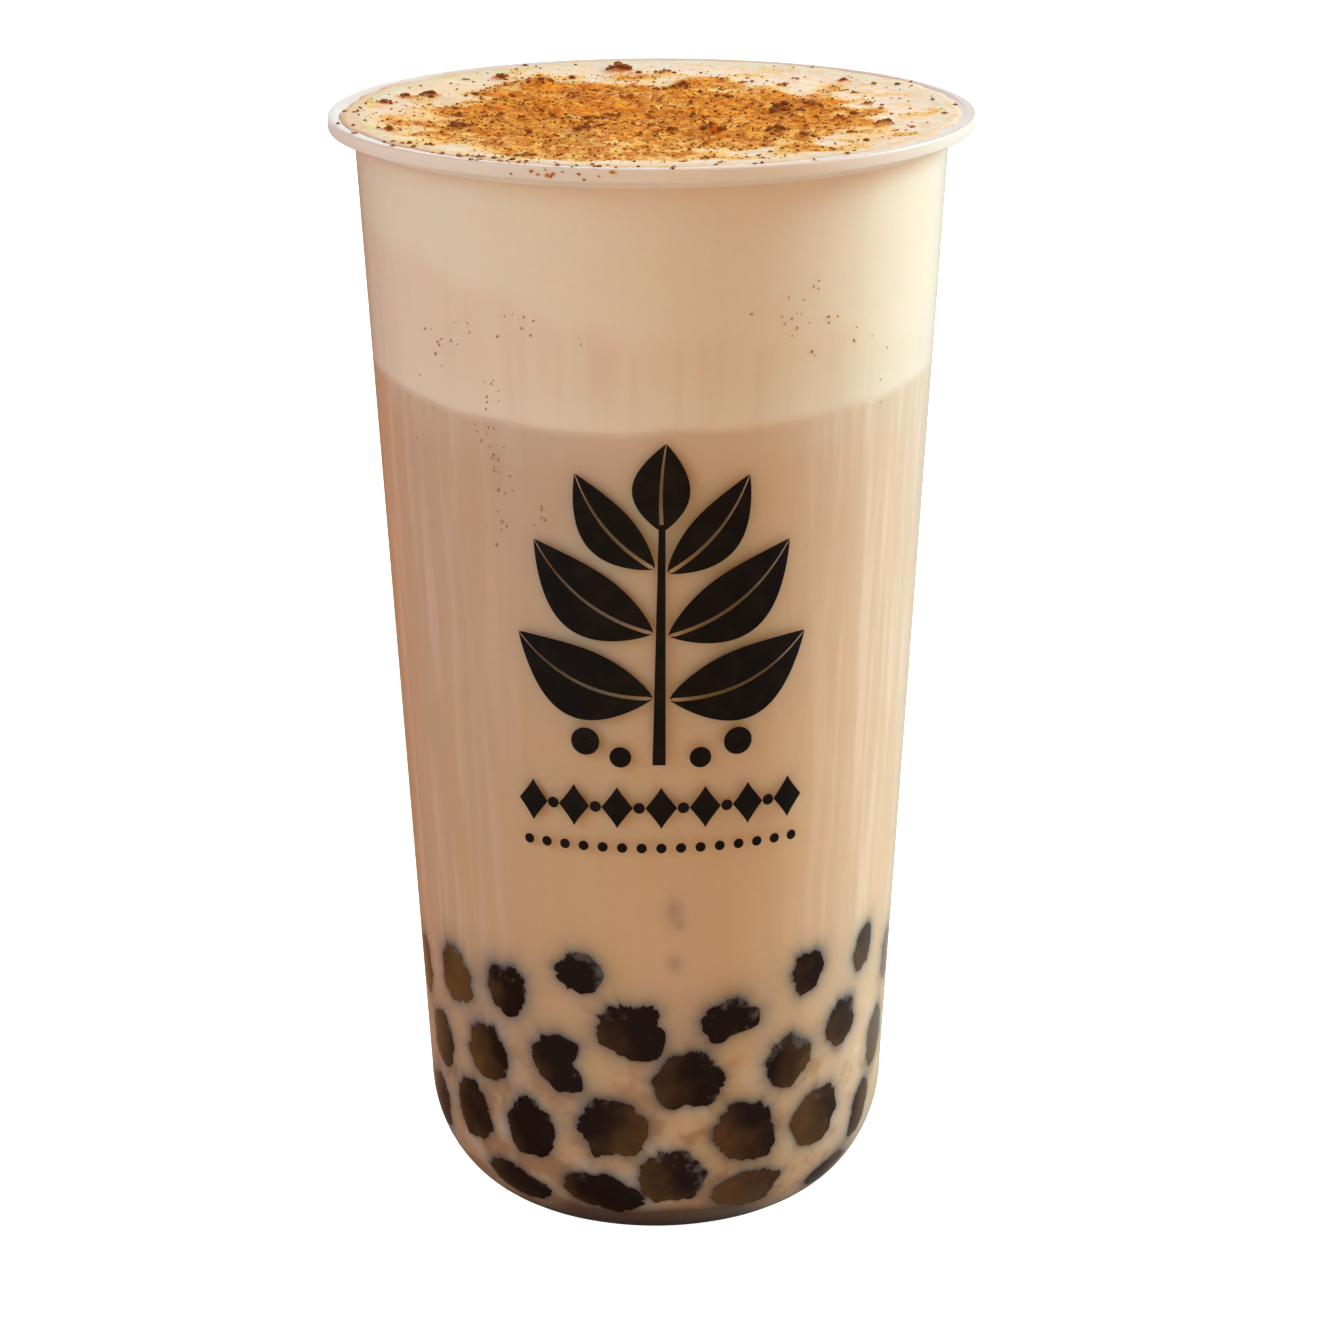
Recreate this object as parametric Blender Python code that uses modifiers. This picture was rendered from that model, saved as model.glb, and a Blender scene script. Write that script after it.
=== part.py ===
"""Bubble tea in a tall clear plastic cup with a round-shouldered foot, filled to the brim.

Tapioca pearls lie at the bottom, milk tea stands over them, and a thick cream foam dusted with
brown powder closes the cup. Metres, +Z up; the origin is the middle of the cup's foot, and the
side shown to the front faces -Y.
"""

import math
import random

import bmesh
import bpy
from mathutils import Matrix, Vector, noise

# Cup: a moulded shell with a flat foot, an elliptical shoulder, a slightly tapered wall and a flange rim
CUP_HEIGHT = 0.1606
MOUTH_RADIUS = 0.04154      # outside of the wall, carried up to the rim's top
WALL_TAPER = 0.056          # radius lost for each unit of height
SHOULDER_HEIGHT = 0.0181
FOOT_RADIUS = 0.019
WALL = 0.0010
FLOOR = 0.0014
RIM_RADIUS = 0.045
RIM_BAND = 0.0019           # height of the flange's upright edge
RIM_SLOPE = 0.0012          # height of the fillet under the flange
RIM_EDGE = 0.00035          # rounding of the flange's two outer edges
RIM_BEAD = 0.0012           # width of the raised bead along the flange's edge
RIM_GROOVE = 0.0002         # how much lower the flange lies inside that bead
MOUTH_ROUND = 0.0009        # rounding of the mouth's inner edge

# Contents, from the bottom up
GAP = 0.0003                # between pieces that touch
CORE_TOP = 0.041            # level of the heap of pearls inside its outer ring
CORE_INSET = 0.0027         # distance from the wall to the middle mass of the heap
FOAM_LINE = 0.1253          # mean height where the milk tea meets the foam
FOAM_LINE_WAVE = 0.0014     # how far that line dips at the front and rises at the sides
FOAM_TOP = CUP_HEIGHT - 0.0004
FOAM_RELIEF = 0.0006        # height of the swells in the foam's top
FOAM_LAP = 0.0004           # how far the foam follows the rounding of the mouth outwards

# Tapioca pearls that press against the wall
PEARL_DIAMETER = 0.0114
PEARL_SPREAD = 0.0007       # how much one pearl's diameter differs from the next
PEARL_SQUASH = 0.0011       # how far a pearl is pressed flat by the wall
PEARL_PITCH = 0.0140        # spacing along a row at the back
FRONT_PEARLS = (            # (degrees round from the front, height in millimetres)
    (-78, 36), (-57, 38.5), (-38, 39.5), (-18, 44.5), (39, 42), (60, 42), (80, 37),
    (-6, 36), (18, 37), (52, 32), (-67, 26.5), (-46, 28.5), (-24.5, 30), (34, 29), (72, 25.5), (8, 28),
    (-73, 15.5), (-53, 18), (-33, 18.5), (-11, 20.5), (22.5, 19), (44, 18.5), (64, 15.5),
    (-41, 8.5), (-15, 9.5), (4, 12.5), (25, 9), (55, 7.5))
BACK_ROWS = (0.0085, 0.0180, 0.0275, 0.0365, 0.0435)
BACK_START = math.radians(92)
BACK_END = math.radians(268)

# Powder lumps on the foam, and the low mound that the powder makes at the back left
LUMPS = (                    # (x, y, width) in millimetres
    (-16, 19.5, 1.9), (-13.5, -5.5, 1.9), (-8.5, -5, 2.0), (-9, -15, 2.4), (-26.5, -11, 2.6), (-4.5, 35.5, 2.8),
    (-16.5, -33.5, 2.0), (10.5, 11, 2.6), (6.5, -5, 1.9), (3, -15, 1.7), (8, -15.5, 2.8), (18, 2, 3.3),
    (22.5, 2.5, 2.8), (26, -7.5, 1.7), (17, -15, 2.6), (20.5, -20.5, 2.2), (4.5, 22.5, 2.2), (2, 32.5, 1.9),
    (-35, 12.5, 2.0), (-31.5, 14.5, 2.6), (-35.5, -14.5, 2.2), (-37.5, 7, 2.0), (-22, 29.5, 2.0),
    (-22, 10.5, 1.4), (-6, -3, 1.5), (-27, -1, 1.5), (-21, -3, 1.3), (28, 25, 1.3))
LUMP_DEPTH = 0.8            # depth and height of a lump for each unit of its width
LUMP_HEIGHT = 0.5
LUMP_RISE = 0.05
MOUND = (-0.0165, 0.0205)
MOUND_HEIGHT = 0.0012
MOUND_SPREAD = 0.0026

CUP_SEGMENTS = 52
DRINK_SEGMENTS = 48
HEAP_SEGMENTS = 24
MILLIMETRE = 0.001
MERGE = 0.00001

bpy.ops.object.select_all(action="DESELECT")
for old in list(bpy.data.objects):
    bpy.data.objects.remove(old, do_unlink=True)

parts = bpy.data.collections.new("bubble_tea")
cutters = bpy.data.collections.new("cutters")
for group in (parts, cutters):
    bpy.context.scene.collection.children.link(group)


def plain_material(name, colour, roughness, alpha=1.0):
    """A Principled material; an alpha under one is for the clear cup."""
    material = bpy.data.materials.new(name)
    material.use_nodes = True
    shader = material.node_tree.nodes["Principled BSDF"]
    shader.inputs["Base Color"].default_value = (*colour, 1.0)
    shader.inputs["Roughness"].default_value = roughness
    shader.inputs["Metallic"].default_value = 0.0
    shader.inputs["Alpha"].default_value = alpha
    material.diffuse_color = (*colour, alpha)
    return material


def wall_radius(z):
    """Outside radius of the cup at height z, without its rim."""
    cone = MOUTH_RADIUS - WALL_TAPER * (CUP_HEIGHT - max(z, SHOULDER_HEIGHT))
    if z >= SHOULDER_HEIGHT:
        return cone
    down = (SHOULDER_HEIGHT - z) / SHOULDER_HEIGHT
    return FOOT_RADIUS + (cone - FOOT_RADIUS) * math.sqrt(max(0.0, 1 - down * down))


def inner_radius(z):
    """Inside radius of the cup at height z, down to its floor."""
    cone = MOUTH_RADIUS - WALL_TAPER * (CUP_HEIGHT - max(z, SHOULDER_HEIGHT)) - WALL
    if z >= SHOULDER_HEIGHT:
        return cone
    foot = FOOT_RADIUS - WALL / 2
    down = min(1.0, (SHOULDER_HEIGHT - z) / (SHOULDER_HEIGHT - FLOOR))
    return foot + (cone - foot) * math.sqrt(1 - down * down)


def arc(centre, radius, start, end, steps):
    """Points on a circle in the profile's plane, from one angle in degrees to another."""
    angles = [math.radians(start + (end - start) * i / steps) for i in range(steps + 1)]
    return [(centre[0] + radius * math.cos(a), centre[1] + radius * math.sin(a)) for a in angles]


def turned(name, profile, segments, material):
    """A solid turned about Z by a Screw modifier from a profile of (radius, height) points."""
    sketch = bmesh.new()
    points = [sketch.verts.new((radius, 0.0, height)) for radius, height in profile]
    for first, second in zip(points, points[1:]):
        sketch.edges.new((first, second))
    mesh = bpy.data.meshes.new(name)
    sketch.to_mesh(mesh)
    sketch.free()
    solid = bpy.data.objects.new(name, mesh)
    parts.objects.link(solid)
    solid.data.materials.append(material)
    screw = solid.modifiers.new("Turn", "SCREW")
    screw.steps = segments
    screw.render_steps = segments
    screw.use_merge_vertices = True
    screw.merge_threshold = MERGE
    return solid


def apply_modifiers(solid):
    """Fix what the modifiers make as the object's own mesh."""
    bpy.context.view_layer.update()
    evaluated = solid.evaluated_get(bpy.context.evaluated_depsgraph_get())
    mesh = bpy.data.meshes.new_from_object(evaluated)
    solid.modifiers.clear()
    solid.data = mesh


def smooth(solid, angle=40):
    """Shade an object smooth, with sharp edges where its faces meet at more than the angle."""
    solid.data.shade_smooth()
    solid.data.set_sharp_from_angle(angle=math.radians(angle))


def combine(solid, group, operation, solver="EXACT"):
    """Join a collection's objects to a solid, or cut them from it, and remove them."""
    boolean = solid.modifiers.new(operation.title(), "BOOLEAN")
    boolean.operation = operation
    boolean.operand_type = "COLLECTION"
    boolean.collection = group
    boolean.solver = solver
    apply_modifiers(solid)
    for used in list(group.objects):
        bpy.data.objects.remove(used, do_unlink=True)


def ball(name, centre, radii, group, subdivisions, turn=0.0):
    """A low-poly ellipsoid, linked to a group."""
    form = bmesh.new()
    place = Matrix.Translation(centre) @ Matrix.Rotation(turn, 4, "Z") @ Matrix.Diagonal((*radii, 1.0))
    bmesh.ops.create_icosphere(form, subdivisions=subdivisions, radius=1.0, matrix=place)
    mesh = bpy.data.meshes.new(name)
    form.to_mesh(mesh)
    form.free()
    piece = bpy.data.objects.new(name, mesh)
    group.objects.link(piece)
    piece.hide_render = True
    piece.display_type = "WIRE"
    return piece


def press_to_wall(piece):
    """Flatten a pearl where it meets the wall and the floor."""
    for vertex in piece.data.vertices:
        vertex.co.z = max(vertex.co.z, FLOOR + GAP)
        reach = math.hypot(vertex.co.x, vertex.co.y)
        limit = inner_radius(vertex.co.z) - GAP
        if reach > limit:
            vertex.co.x *= limit / reach
            vertex.co.y *= limit / reach


def foam_line(x, y):
    """Height of the surface between the milk tea and the foam."""
    angle = math.atan2(x, -y)
    reach = min(1.0, math.hypot(x, y) / inner_radius(FOAM_LINE))
    wave = -FOAM_LINE_WAVE * math.cos(2 * angle) + 0.25 * FOAM_LINE_WAVE * math.sin(3 * angle + 0.6)
    return FOAM_LINE + wave * reach


def pearl_places():
    """Angle, height and diameter of every pearl at the wall: the front by eye, the back in rows."""
    draw = random.Random(5)
    places = [(math.radians(degrees), height * MILLIMETRE) for degrees, height in FRONT_PEARLS]
    for row, height in enumerate(BACK_ROWS):
        step = PEARL_PITCH / inner_radius(height)
        count = int((BACK_END - BACK_START) / step)
        for i in range(count):
            angle = BACK_START + (i + 0.35 + 0.3 * (row % 2)) * (BACK_END - BACK_START) / count
            jitter = draw.uniform(-1.0, 1.0)
            places.append((angle + jitter * 0.15 * step, height + draw.uniform(-1.2, 1.2) * MILLIMETRE))
    return [(angle, height, PEARL_DIAMETER + draw.uniform(-0.5, 0.5) * PEARL_SPREAD) for angle, height in places]


def make_pearl(index, place, grow, group):
    """One pearl lying against the wall, grown all round when it is to cut a pocket."""
    angle, height, diameter = place
    radius = diameter / 2
    height = max(height, FLOOR + GAP + radius * 0.9)
    reach = inner_radius(height) - GAP - radius + PEARL_SQUASH
    centre = Vector((reach * math.sin(angle), -reach * math.cos(angle), height))
    return ball(f"pearl_{index:02}", centre, [radius + grow] * 3, group, subdivisions=2, turn=angle)


def make_cup(material):
    """The clear shell: inner floor, inner wall, flange rim, outer wall and foot in one profile."""
    shoulder = [math.radians(90 * i / 7) for i in range(8)]
    inside = [(0.0, FLOOR)]
    for turn in shoulder:
        height = SHOULDER_HEIGHT - (SHOULDER_HEIGHT - FLOOR) * math.cos(turn)
        inside.append((inner_radius(height), height))
    top = CUP_HEIGHT
    inside += [(inner_radius(z), z) for z in (CUP_HEIGHT / 2,)]
    bead = RIM_RADIUS - RIM_EDGE
    mouth = inner_radius(top - MOUTH_ROUND) + MOUTH_ROUND
    rim = arc((mouth, top - RIM_GROOVE - MOUTH_ROUND), MOUTH_ROUND, 180, 90, 2)
    rim += [(bead - RIM_BEAD, top - RIM_GROOVE), (bead - RIM_BEAD + RIM_GROOVE, top)]
    rim += arc((bead, top - RIM_EDGE), RIM_EDGE, 90, 0, 2)
    rim += arc((bead, top - RIM_BAND + RIM_EDGE), RIM_EDGE, 0, -90, 2)
    under = top - RIM_BAND - RIM_SLOPE
    fillet = [(wall_radius(under) + RIM_SLOPE * 0.55, top - RIM_BAND - 0.12 * RIM_SLOPE)]
    fillet += [(wall_radius(under) + RIM_SLOPE * 0.14, top - RIM_BAND - 0.5 * RIM_SLOPE)]
    outside = [(wall_radius(z), z) for z in (under, CUP_HEIGHT / 2)]
    for turn in reversed(shoulder):
        height = SHOULDER_HEIGHT * (1 - math.cos(turn))
        outside.append((wall_radius(height), height))
    outside.append((0.0, 0.0))
    cup = turned("cup", inside + rim + fillet + outside, CUP_SEGMENTS, material)
    smooth(cup)
    return cup


def make_pearls(material, places):
    """The heap: a middle mass set back from the wall, with the pearls that show fused on it."""
    heights = (CORE_TOP, 0.8 * SHOULDER_HEIGHT, 0.4 * SHOULDER_HEIGHT, FLOOR + GAP)
    middle = [(inner_radius(height) - CORE_INSET, height) for height in heights]
    profile = [(0.0, CORE_TOP)] + middle + [(0.0, FLOOR + GAP)]
    heap = turned("pearls", profile, HEAP_SEGMENTS, material)
    apply_modifiers(heap)
    loose = bpy.data.collections.new("loose_pearls")
    bpy.context.scene.collection.children.link(loose)
    for index, place in enumerate(places):
        press_to_wall(make_pearl(index, place, 0.0, loose))
    combine(heap, loose, "UNION")
    bpy.data.collections.remove(loose)
    smooth(heap)
    return heap


def make_milk_tea(material, places):
    """The drink over the pearls, up to the foam, with a pocket round each pearl that reaches into it."""
    bottom = CORE_TOP + GAP
    rings = (0.35, 0.7)
    top = [(0.0, FOAM_LINE)] + [(inner_radius(FOAM_LINE) * part, FOAM_LINE) for part in rings]
    sides = [(inner_radius(z) - GAP, z) for z in (FOAM_LINE, (FOAM_LINE + bottom) / 2, bottom)]
    profile = top + sides + [(0.0, bottom)]
    tea = turned("milk_tea", profile, DRINK_SEGMENTS, material)
    apply_modifiers(tea)
    for vertex in tea.data.vertices:
        if abs(vertex.co.z - FOAM_LINE) < MERGE:
            vertex.co.z = foam_line(vertex.co.x, vertex.co.y) - GAP / 2
    for index, place in enumerate(places):
        if place[1] + place[2] / 2 > bottom - GAP:
            make_pearl(index, place, 1.6 * GAP, cutters)
    combine(tea, cutters, "DIFFERENCE")
    smooth(tea)
    return tea


def foam_swell(x, y):
    """Soft uneven swells of the foam's top and its mound, fading out at the cup's mouth."""
    reach = math.hypot(x, y) / inner_radius(FOAM_TOP)
    fade = max(0.0, 1 - reach ** 6)
    broad = noise.noise(Vector((x, y, 0.0)) * 95)
    fine = noise.noise(Vector((x, y, 0.004)) * 210)
    away = math.hypot(x - MOUND[0], y - MOUND[1]) / MOUND_SPREAD
    return fade * (FOAM_RELIEF * (broad + 0.55 * fine) + MOUND_HEIGHT * math.exp(-away * away / 2))


def make_foam(material):
    """The cream foam with the swells of its top and the lumps of powder fused on it."""
    side_top = CUP_HEIGHT - RIM_GROOVE - MOUTH_ROUND - GAP
    edge = inner_radius(side_top) - GAP
    rings = 12
    top = [(edge * 0.985 * i / rings, FOAM_TOP) for i in range(rings + 1)]
    crown = [(edge + FOAM_LAP, CUP_HEIGHT - RIM_GROOVE), (edge + FOAM_LAP / 4, CUP_HEIGHT - MOUTH_ROUND / 2)]
    sides = [(inner_radius(z) - GAP, z) for z in (side_top, FOAM_LINE)]
    under = [(inner_radius(FOAM_LINE) * part, FOAM_LINE) for part in (0.7, 0.35, 0.0)]
    foam = turned("foam", top + crown + sides + under, DRINK_SEGMENTS, material)
    apply_modifiers(foam)
    for vertex in foam.data.vertices:
        if abs(vertex.co.z - FOAM_LINE) < MERGE:
            vertex.co.z = foam_line(vertex.co.x, vertex.co.y) + GAP / 2
        elif abs(vertex.co.z - FOAM_TOP) < MERGE:
            vertex.co.z = FOAM_TOP + foam_swell(vertex.co.x, vertex.co.y)
    lumps = bpy.data.collections.new("lumps")
    bpy.context.scene.collection.children.link(lumps)
    for index, (x, y, width) in enumerate(LUMPS):
        x, y, size = x * MILLIMETRE, y * MILLIMETRE, width * MILLIMETRE / 2
        radii = (size, size * LUMP_DEPTH, size * LUMP_HEIGHT)
        centre = Vector((x, y, FOAM_TOP + foam_swell(x, y) + LUMP_RISE * size))
        ball(f"lump_{index:02}", centre, radii, lumps, subdivisions=1, turn=index)
    combine(foam, lumps, "UNION")
    bpy.data.collections.remove(lumps)
    smooth(foam)
    return foam


pearls_at = pearl_places()
make_cup(plain_material("clear_plastic", (0.93, 0.91, 0.88), 0.08, alpha=0.25))
make_pearls(plain_material("tapioca", (0.020, 0.012, 0.007), 0.25), pearls_at)
make_milk_tea(plain_material("milk_tea", (0.58, 0.38, 0.22), 0.35), pearls_at)
make_foam(plain_material("cream_foam", (0.90, 0.80, 0.64), 0.55))
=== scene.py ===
import math
import random

import bmesh
import bpy
import numpy as np
from mathutils import Matrix, Vector, noise


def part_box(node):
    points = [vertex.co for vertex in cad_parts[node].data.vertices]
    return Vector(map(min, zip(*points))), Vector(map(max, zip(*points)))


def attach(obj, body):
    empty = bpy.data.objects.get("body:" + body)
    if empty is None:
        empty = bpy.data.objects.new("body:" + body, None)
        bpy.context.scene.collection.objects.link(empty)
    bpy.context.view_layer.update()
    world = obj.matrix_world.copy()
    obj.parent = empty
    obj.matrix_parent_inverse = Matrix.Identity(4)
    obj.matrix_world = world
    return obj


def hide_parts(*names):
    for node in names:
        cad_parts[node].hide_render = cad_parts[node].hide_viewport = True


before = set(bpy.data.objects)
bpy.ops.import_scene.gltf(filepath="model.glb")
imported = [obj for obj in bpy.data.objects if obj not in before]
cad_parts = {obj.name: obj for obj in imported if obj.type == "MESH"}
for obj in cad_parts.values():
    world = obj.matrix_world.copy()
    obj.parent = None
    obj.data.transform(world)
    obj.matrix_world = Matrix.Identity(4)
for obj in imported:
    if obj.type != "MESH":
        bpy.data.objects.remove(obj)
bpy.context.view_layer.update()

# The view: the photograph's camera, 54 cm in front of the cup and looking down on it.
# The lens and the tilt come from the cup's outline, so rim, shoulders and foot line up.
MM = 0.001
_, CUP_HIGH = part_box("cup")
CUP_HEIGHT = CUP_HIGH.z
CAMERA_DISTANCE = 540 * MM
CAMERA_OVER_RIM = 93.2 * MM
CAMERA_TILT = math.radians(17.93)
CAMERA_TURN = math.radians(-0.19)
CAMERA_ROLL = math.radians(-0.2)
CAMERA_LENS = 105.3

camera = bpy.data.objects.new("camera", bpy.data.cameras.new("camera"))
bpy.context.scene.collection.objects.link(camera)
camera.data.lens = CAMERA_LENS
camera.data.sensor_width = 36
camera.data.clip_start = 0.01
camera.matrix_world = (Matrix.Translation((0, -CAMERA_DISTANCE, CUP_HEIGHT + CAMERA_OVER_RIM))
                       @ Matrix.Rotation(CAMERA_TURN, 4, "Z")
                       @ Matrix.Rotation(math.pi / 2 - CAMERA_TILT, 4, "X")
                       @ Matrix.Rotation(CAMERA_ROLL, 4, "Z"))
bpy.context.scene.camera = camera
bpy.context.scene.view_settings.view_transform = "Standard"

# The cup: one shell of clear plastic, injection moulded. A flat foot turns through an elliptical
# shoulder into a slightly tapered wall, and a flange rim with a raised bead stiffens the mouth.
RIM_RADIUS = CUP_HIGH.x
MOUTH_RADIUS = 41.54 * MM
WALL_TAPER = 0.056
SHOULDER_HEIGHT = 18.1 * MM
FOOT_RADIUS = 19 * MM
WALL = 1.0 * MM
FLOOR = 1.4 * MM
RIM_BAND = 1.9 * MM
RIM_SLOPE = 1.2 * MM
RIM_EDGE = 0.35 * MM
RIM_BEAD = 1.2 * MM
RIM_GROOVE = 0.2 * MM
BEAD_STEP = 0.12 * MM
BEAD_DIP = 0.14 * MM
FILLET = 1.1 * RIM_SLOPE
BELOW_FILLET = 0.4 * MM
MOUTH_ROUND = 0.9 * MM
CUP_COLUMNS = 224


def wall_radius(z):
    """Outside radius of the cup at height z, without its rim."""
    cone = MOUTH_RADIUS - WALL_TAPER * (CUP_HEIGHT - max(z, SHOULDER_HEIGHT))
    down = min(max((SHOULDER_HEIGHT - z) / SHOULDER_HEIGHT, 0.0), 1.0)
    return FOOT_RADIUS + (cone - FOOT_RADIUS) * math.sqrt(1 - down * down)


def inner_radius(z):
    """Inside radius of the cup at height z, down to its floor."""
    cone = MOUTH_RADIUS - WALL_TAPER * (CUP_HEIGHT - max(z, SHOULDER_HEIGHT)) - WALL
    down = min(max((SHOULDER_HEIGHT - z) / (SHOULDER_HEIGHT - FLOOR), 0.0), 1.0)
    foot = FOOT_RADIUS - WALL / 2
    return foot + (cone - foot) * math.sqrt(1 - down * down)


def arc(centre, radius, start, end, steps):
    """Points on a circle in a profile's plane, from one angle in degrees to another."""
    angles = [math.radians(start + (end - start) * i / steps) for i in range(steps + 1)]
    return [(centre[0] + radius * math.cos(a), centre[1] + radius * math.sin(a)) for a in angles]


def mesh_piece(name, points, faces, material):
    """A smooth-shaded object in the scene from points, faces and a material."""
    mesh = bpy.data.meshes.new(name)
    mesh.from_pydata(points, [], faces)
    mesh.validate()
    mesh.shade_smooth()
    mesh.materials.append(material)
    piece = bpy.data.objects.new(name, mesh)
    bpy.context.scene.collection.objects.link(piece)
    return piece


def ring_faces(rows, columns, start):
    """Quads between rings of points that run down a turned form, each ring closed round it."""
    row, column = np.meshgrid(np.arange(rows - 1), np.arange(columns), indexing="ij")
    here = start + row * columns + column
    right = start + row * columns + (column + 1) % columns
    return np.stack([here, here + columns, right + columns, right], axis=-1).reshape(-1, 4).tolist()


def closed_faces(rows, columns, start=0):
    """Faces of a closed form that has rings of points between a first and a last pole."""
    faces = ring_faces(rows, columns, start + 1)
    end = start + 1 + rows * columns
    for column in range(columns):
        after = (column + 1) % columns
        faces.append([start, start + 1 + column, start + 1 + after])
        faces.append([end, end - columns + after, end - columns + column])
    return faces


def turned_piece(name, rings, first_pole, last_pole, material):
    """A closed form from rings (rows, columns, 3) that run down its outer side, with a pole at each end."""
    rows, columns, _ = rings.shape
    points = [first_pole, *rings.reshape(-1, 3).tolist(), last_pole]
    return mesh_piece(name, points, closed_faces(rows, columns), material)


def round_axis(radius, turn, height):
    """Points at a distance from the cup's axis, in a direction turned from the front, at a height."""
    return np.stack([radius * np.sin(turn), -radius * np.cos(turn), height + 0 * turn], axis=-1)


def spun(profile, columns):
    """Rings of points turned about the cup's axis from (radius, height) pairs."""
    turn = np.linspace(0, 2 * math.pi, columns, endpoint=False)
    radius, height = np.array(profile).T[..., None]
    return round_axis(radius, turn, height)


def clear_plastic(name, tint, roughness, clearness, shade):
    """Plastic that bends what the camera sees through it, and lets lamp light pass with a slight shade."""
    material = bpy.data.materials.new(name)
    material.use_nodes = True
    tree = material.node_tree
    plastic = tree.nodes["Principled BSDF"]
    plastic.inputs["Base Color"].default_value = (*tint, 1)
    plastic.inputs["Roughness"].default_value = roughness
    plastic.inputs["IOR"].default_value = 1.45
    plastic.inputs["Transmission Weight"].default_value = clearness
    passing = tree.nodes.new("ShaderNodeBsdfTransparent")
    passing.inputs["Color"].default_value = (*shade, 1)
    path = tree.nodes.new("ShaderNodeLightPath")
    result = plastic
    for ray in ("Is Diffuse Ray", "Is Shadow Ray"):
        mix = tree.nodes.new("ShaderNodeMixShader")
        tree.links.new(path.outputs[ray], mix.inputs["Fac"])
        tree.links.new(result.outputs[0], mix.inputs[1])
        tree.links.new(passing.outputs["BSDF"], mix.inputs[2])
        result = mix
    tree.links.new(result.outputs[0], tree.nodes["Material Output"].inputs["Surface"])
    return material


rim_under = CUP_HEIGHT - RIM_BAND - RIM_SLOPE
bead = RIM_RADIUS - RIM_EDGE
bead_foot = bead - RIM_BEAD
mouth = inner_radius(CUP_HEIGHT - MOUTH_ROUND) + MOUTH_ROUND
inside_heights = [FLOOR + (SHOULDER_HEIGHT - FLOOR) * (1 - math.cos(math.pi / 2 * i / 16)) for i in range(17)]
inside_heights += np.linspace(SHOULDER_HEIGHT, CUP_HEIGHT - MOUTH_ROUND, 7)[1:-1].tolist()
cup_profile = [(inner_radius(z), z) for z in inside_heights]
wall_end = len(cup_profile)
cup_profile += arc((mouth, CUP_HEIGHT - RIM_GROOVE - MOUTH_ROUND), MOUTH_ROUND, 180, 90, 5)
cup_profile += [(bead_foot, CUP_HEIGHT - RIM_GROOVE), (bead_foot + BEAD_STEP, CUP_HEIGHT - BEAD_DIP),
                (bead_foot + RIM_EDGE, CUP_HEIGHT)]
cup_profile += arc((bead, CUP_HEIGHT - RIM_EDGE), RIM_EDGE, 90, 0, 4)
cup_profile += arc((bead, CUP_HEIGHT - RIM_BAND + RIM_EDGE), RIM_EDGE, 0, -90, 4)
cup_profile += arc((wall_radius(rim_under) + FILLET, CUP_HEIGHT - RIM_BAND - FILLET), FILLET, 90, 180, 6)
rim_end = len(cup_profile)
cup_profile += [(wall_radius(z), z) for z in np.linspace(rim_under - BELOW_FILLET, SHOULDER_HEIGHT, 8)]
cup_profile += [(wall_radius(z), z) for z in
                (SHOULDER_HEIGHT * (1 - math.cos(math.pi / 2 * (1 - i / 18))) for i in range(1, 19))]

wall_plastic = clear_plastic("clear wall", (0.995, 0.985, 0.97), 0.05, 1.0, (0.98, 0.965, 0.945))
rim_plastic = clear_plastic("hazy rim", (0.96, 0.85, 0.72), 0.46, 0.35, (0.50, 0.42, 0.35))
cup = turned_piece("cup_clear", spun(cup_profile, CUP_COLUMNS), (0, 0, FLOOR), (0, 0, 0), wall_plastic)
cup.data.materials.append(rim_plastic)
for polygon in cup.data.polygons[wall_end * CUP_COLUMNS:(rim_end - 1) * CUP_COLUMNS]:
    polygon.material_index = 1
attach(cup, "root")
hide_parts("cup")

# The places of the tapioca pearls that lie against the wall. The front ones lie as in the
# photograph and the back ones in uneven rows, as the heap's solid has them.
PEARL_RADIUS = 5.5 * MM
PEARL_FILM = 0.20 * MM
FRONT_PEARLS = (        # degrees from the front, height, width and height of the pressed face, lean, paleness
    (-78, 36, 7, 9, 0, 0.45), (-57, 38.5, 7.4, 8.6, 15, 0.8), (-38, 39.5, 6.8, 8.0, 10, 0.1),
    (-18, 44.5, 6.6, 6.0, -10, 0.05), (39, 42, 5.4, 6.4, -20, 0.2), (60, 42, 4.4, 6.8, -15, 0.35),
    (80, 37, 7, 8, 0, 0.35), (-6, 36, 9.2, 8.4, -20, 0.05), (18, 37, 8.6, 6.6, 20, 0.05),
    (52, 32, 6.2, 7.0, -20, 0.3), (-67, 26.5, 7.0, 8.6, 0, 0.4), (-46, 28.5, 7.8, 8.4, 10, 0.42),
    (-24.5, 30, 7.4, 8.4, 30, 0.0), (34, 29, 7.6, 8.0, -25, 0.42), (72, 25.5, 6.2, 8.8, -10, 0.45),
    (8, 28, 9.6, 8.8, 10, 0.2), (-73, 15.5, 8, 8, 0, 0.3), (-53, 18, 7.4, 9.4, 15, 0.35),
    (-33, 18.5, 7.6, 9.2, 5, 0.05), (-11, 20.5, 10.0, 8.8, -5, 0.32), (22.5, 19, 9.0, 9.6, 10, 0.4),
    (44, 18.5, 8.2, 9.4, -40, 0.55), (64, 15.5, 4.6, 9.0, -15, 0.4), (-41, 8.5, 10, 6.6, -15, 0.15),
    (-15, 9.5, 10.6, 7.0, -15, 0.15), (4, 12.5, 9.6, 8.8, 5, 0.33), (25, 9, 9.8, 7.4, 0, 0.68),
    (55, 7.5, 8, 5, 20, 0.35))
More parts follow.
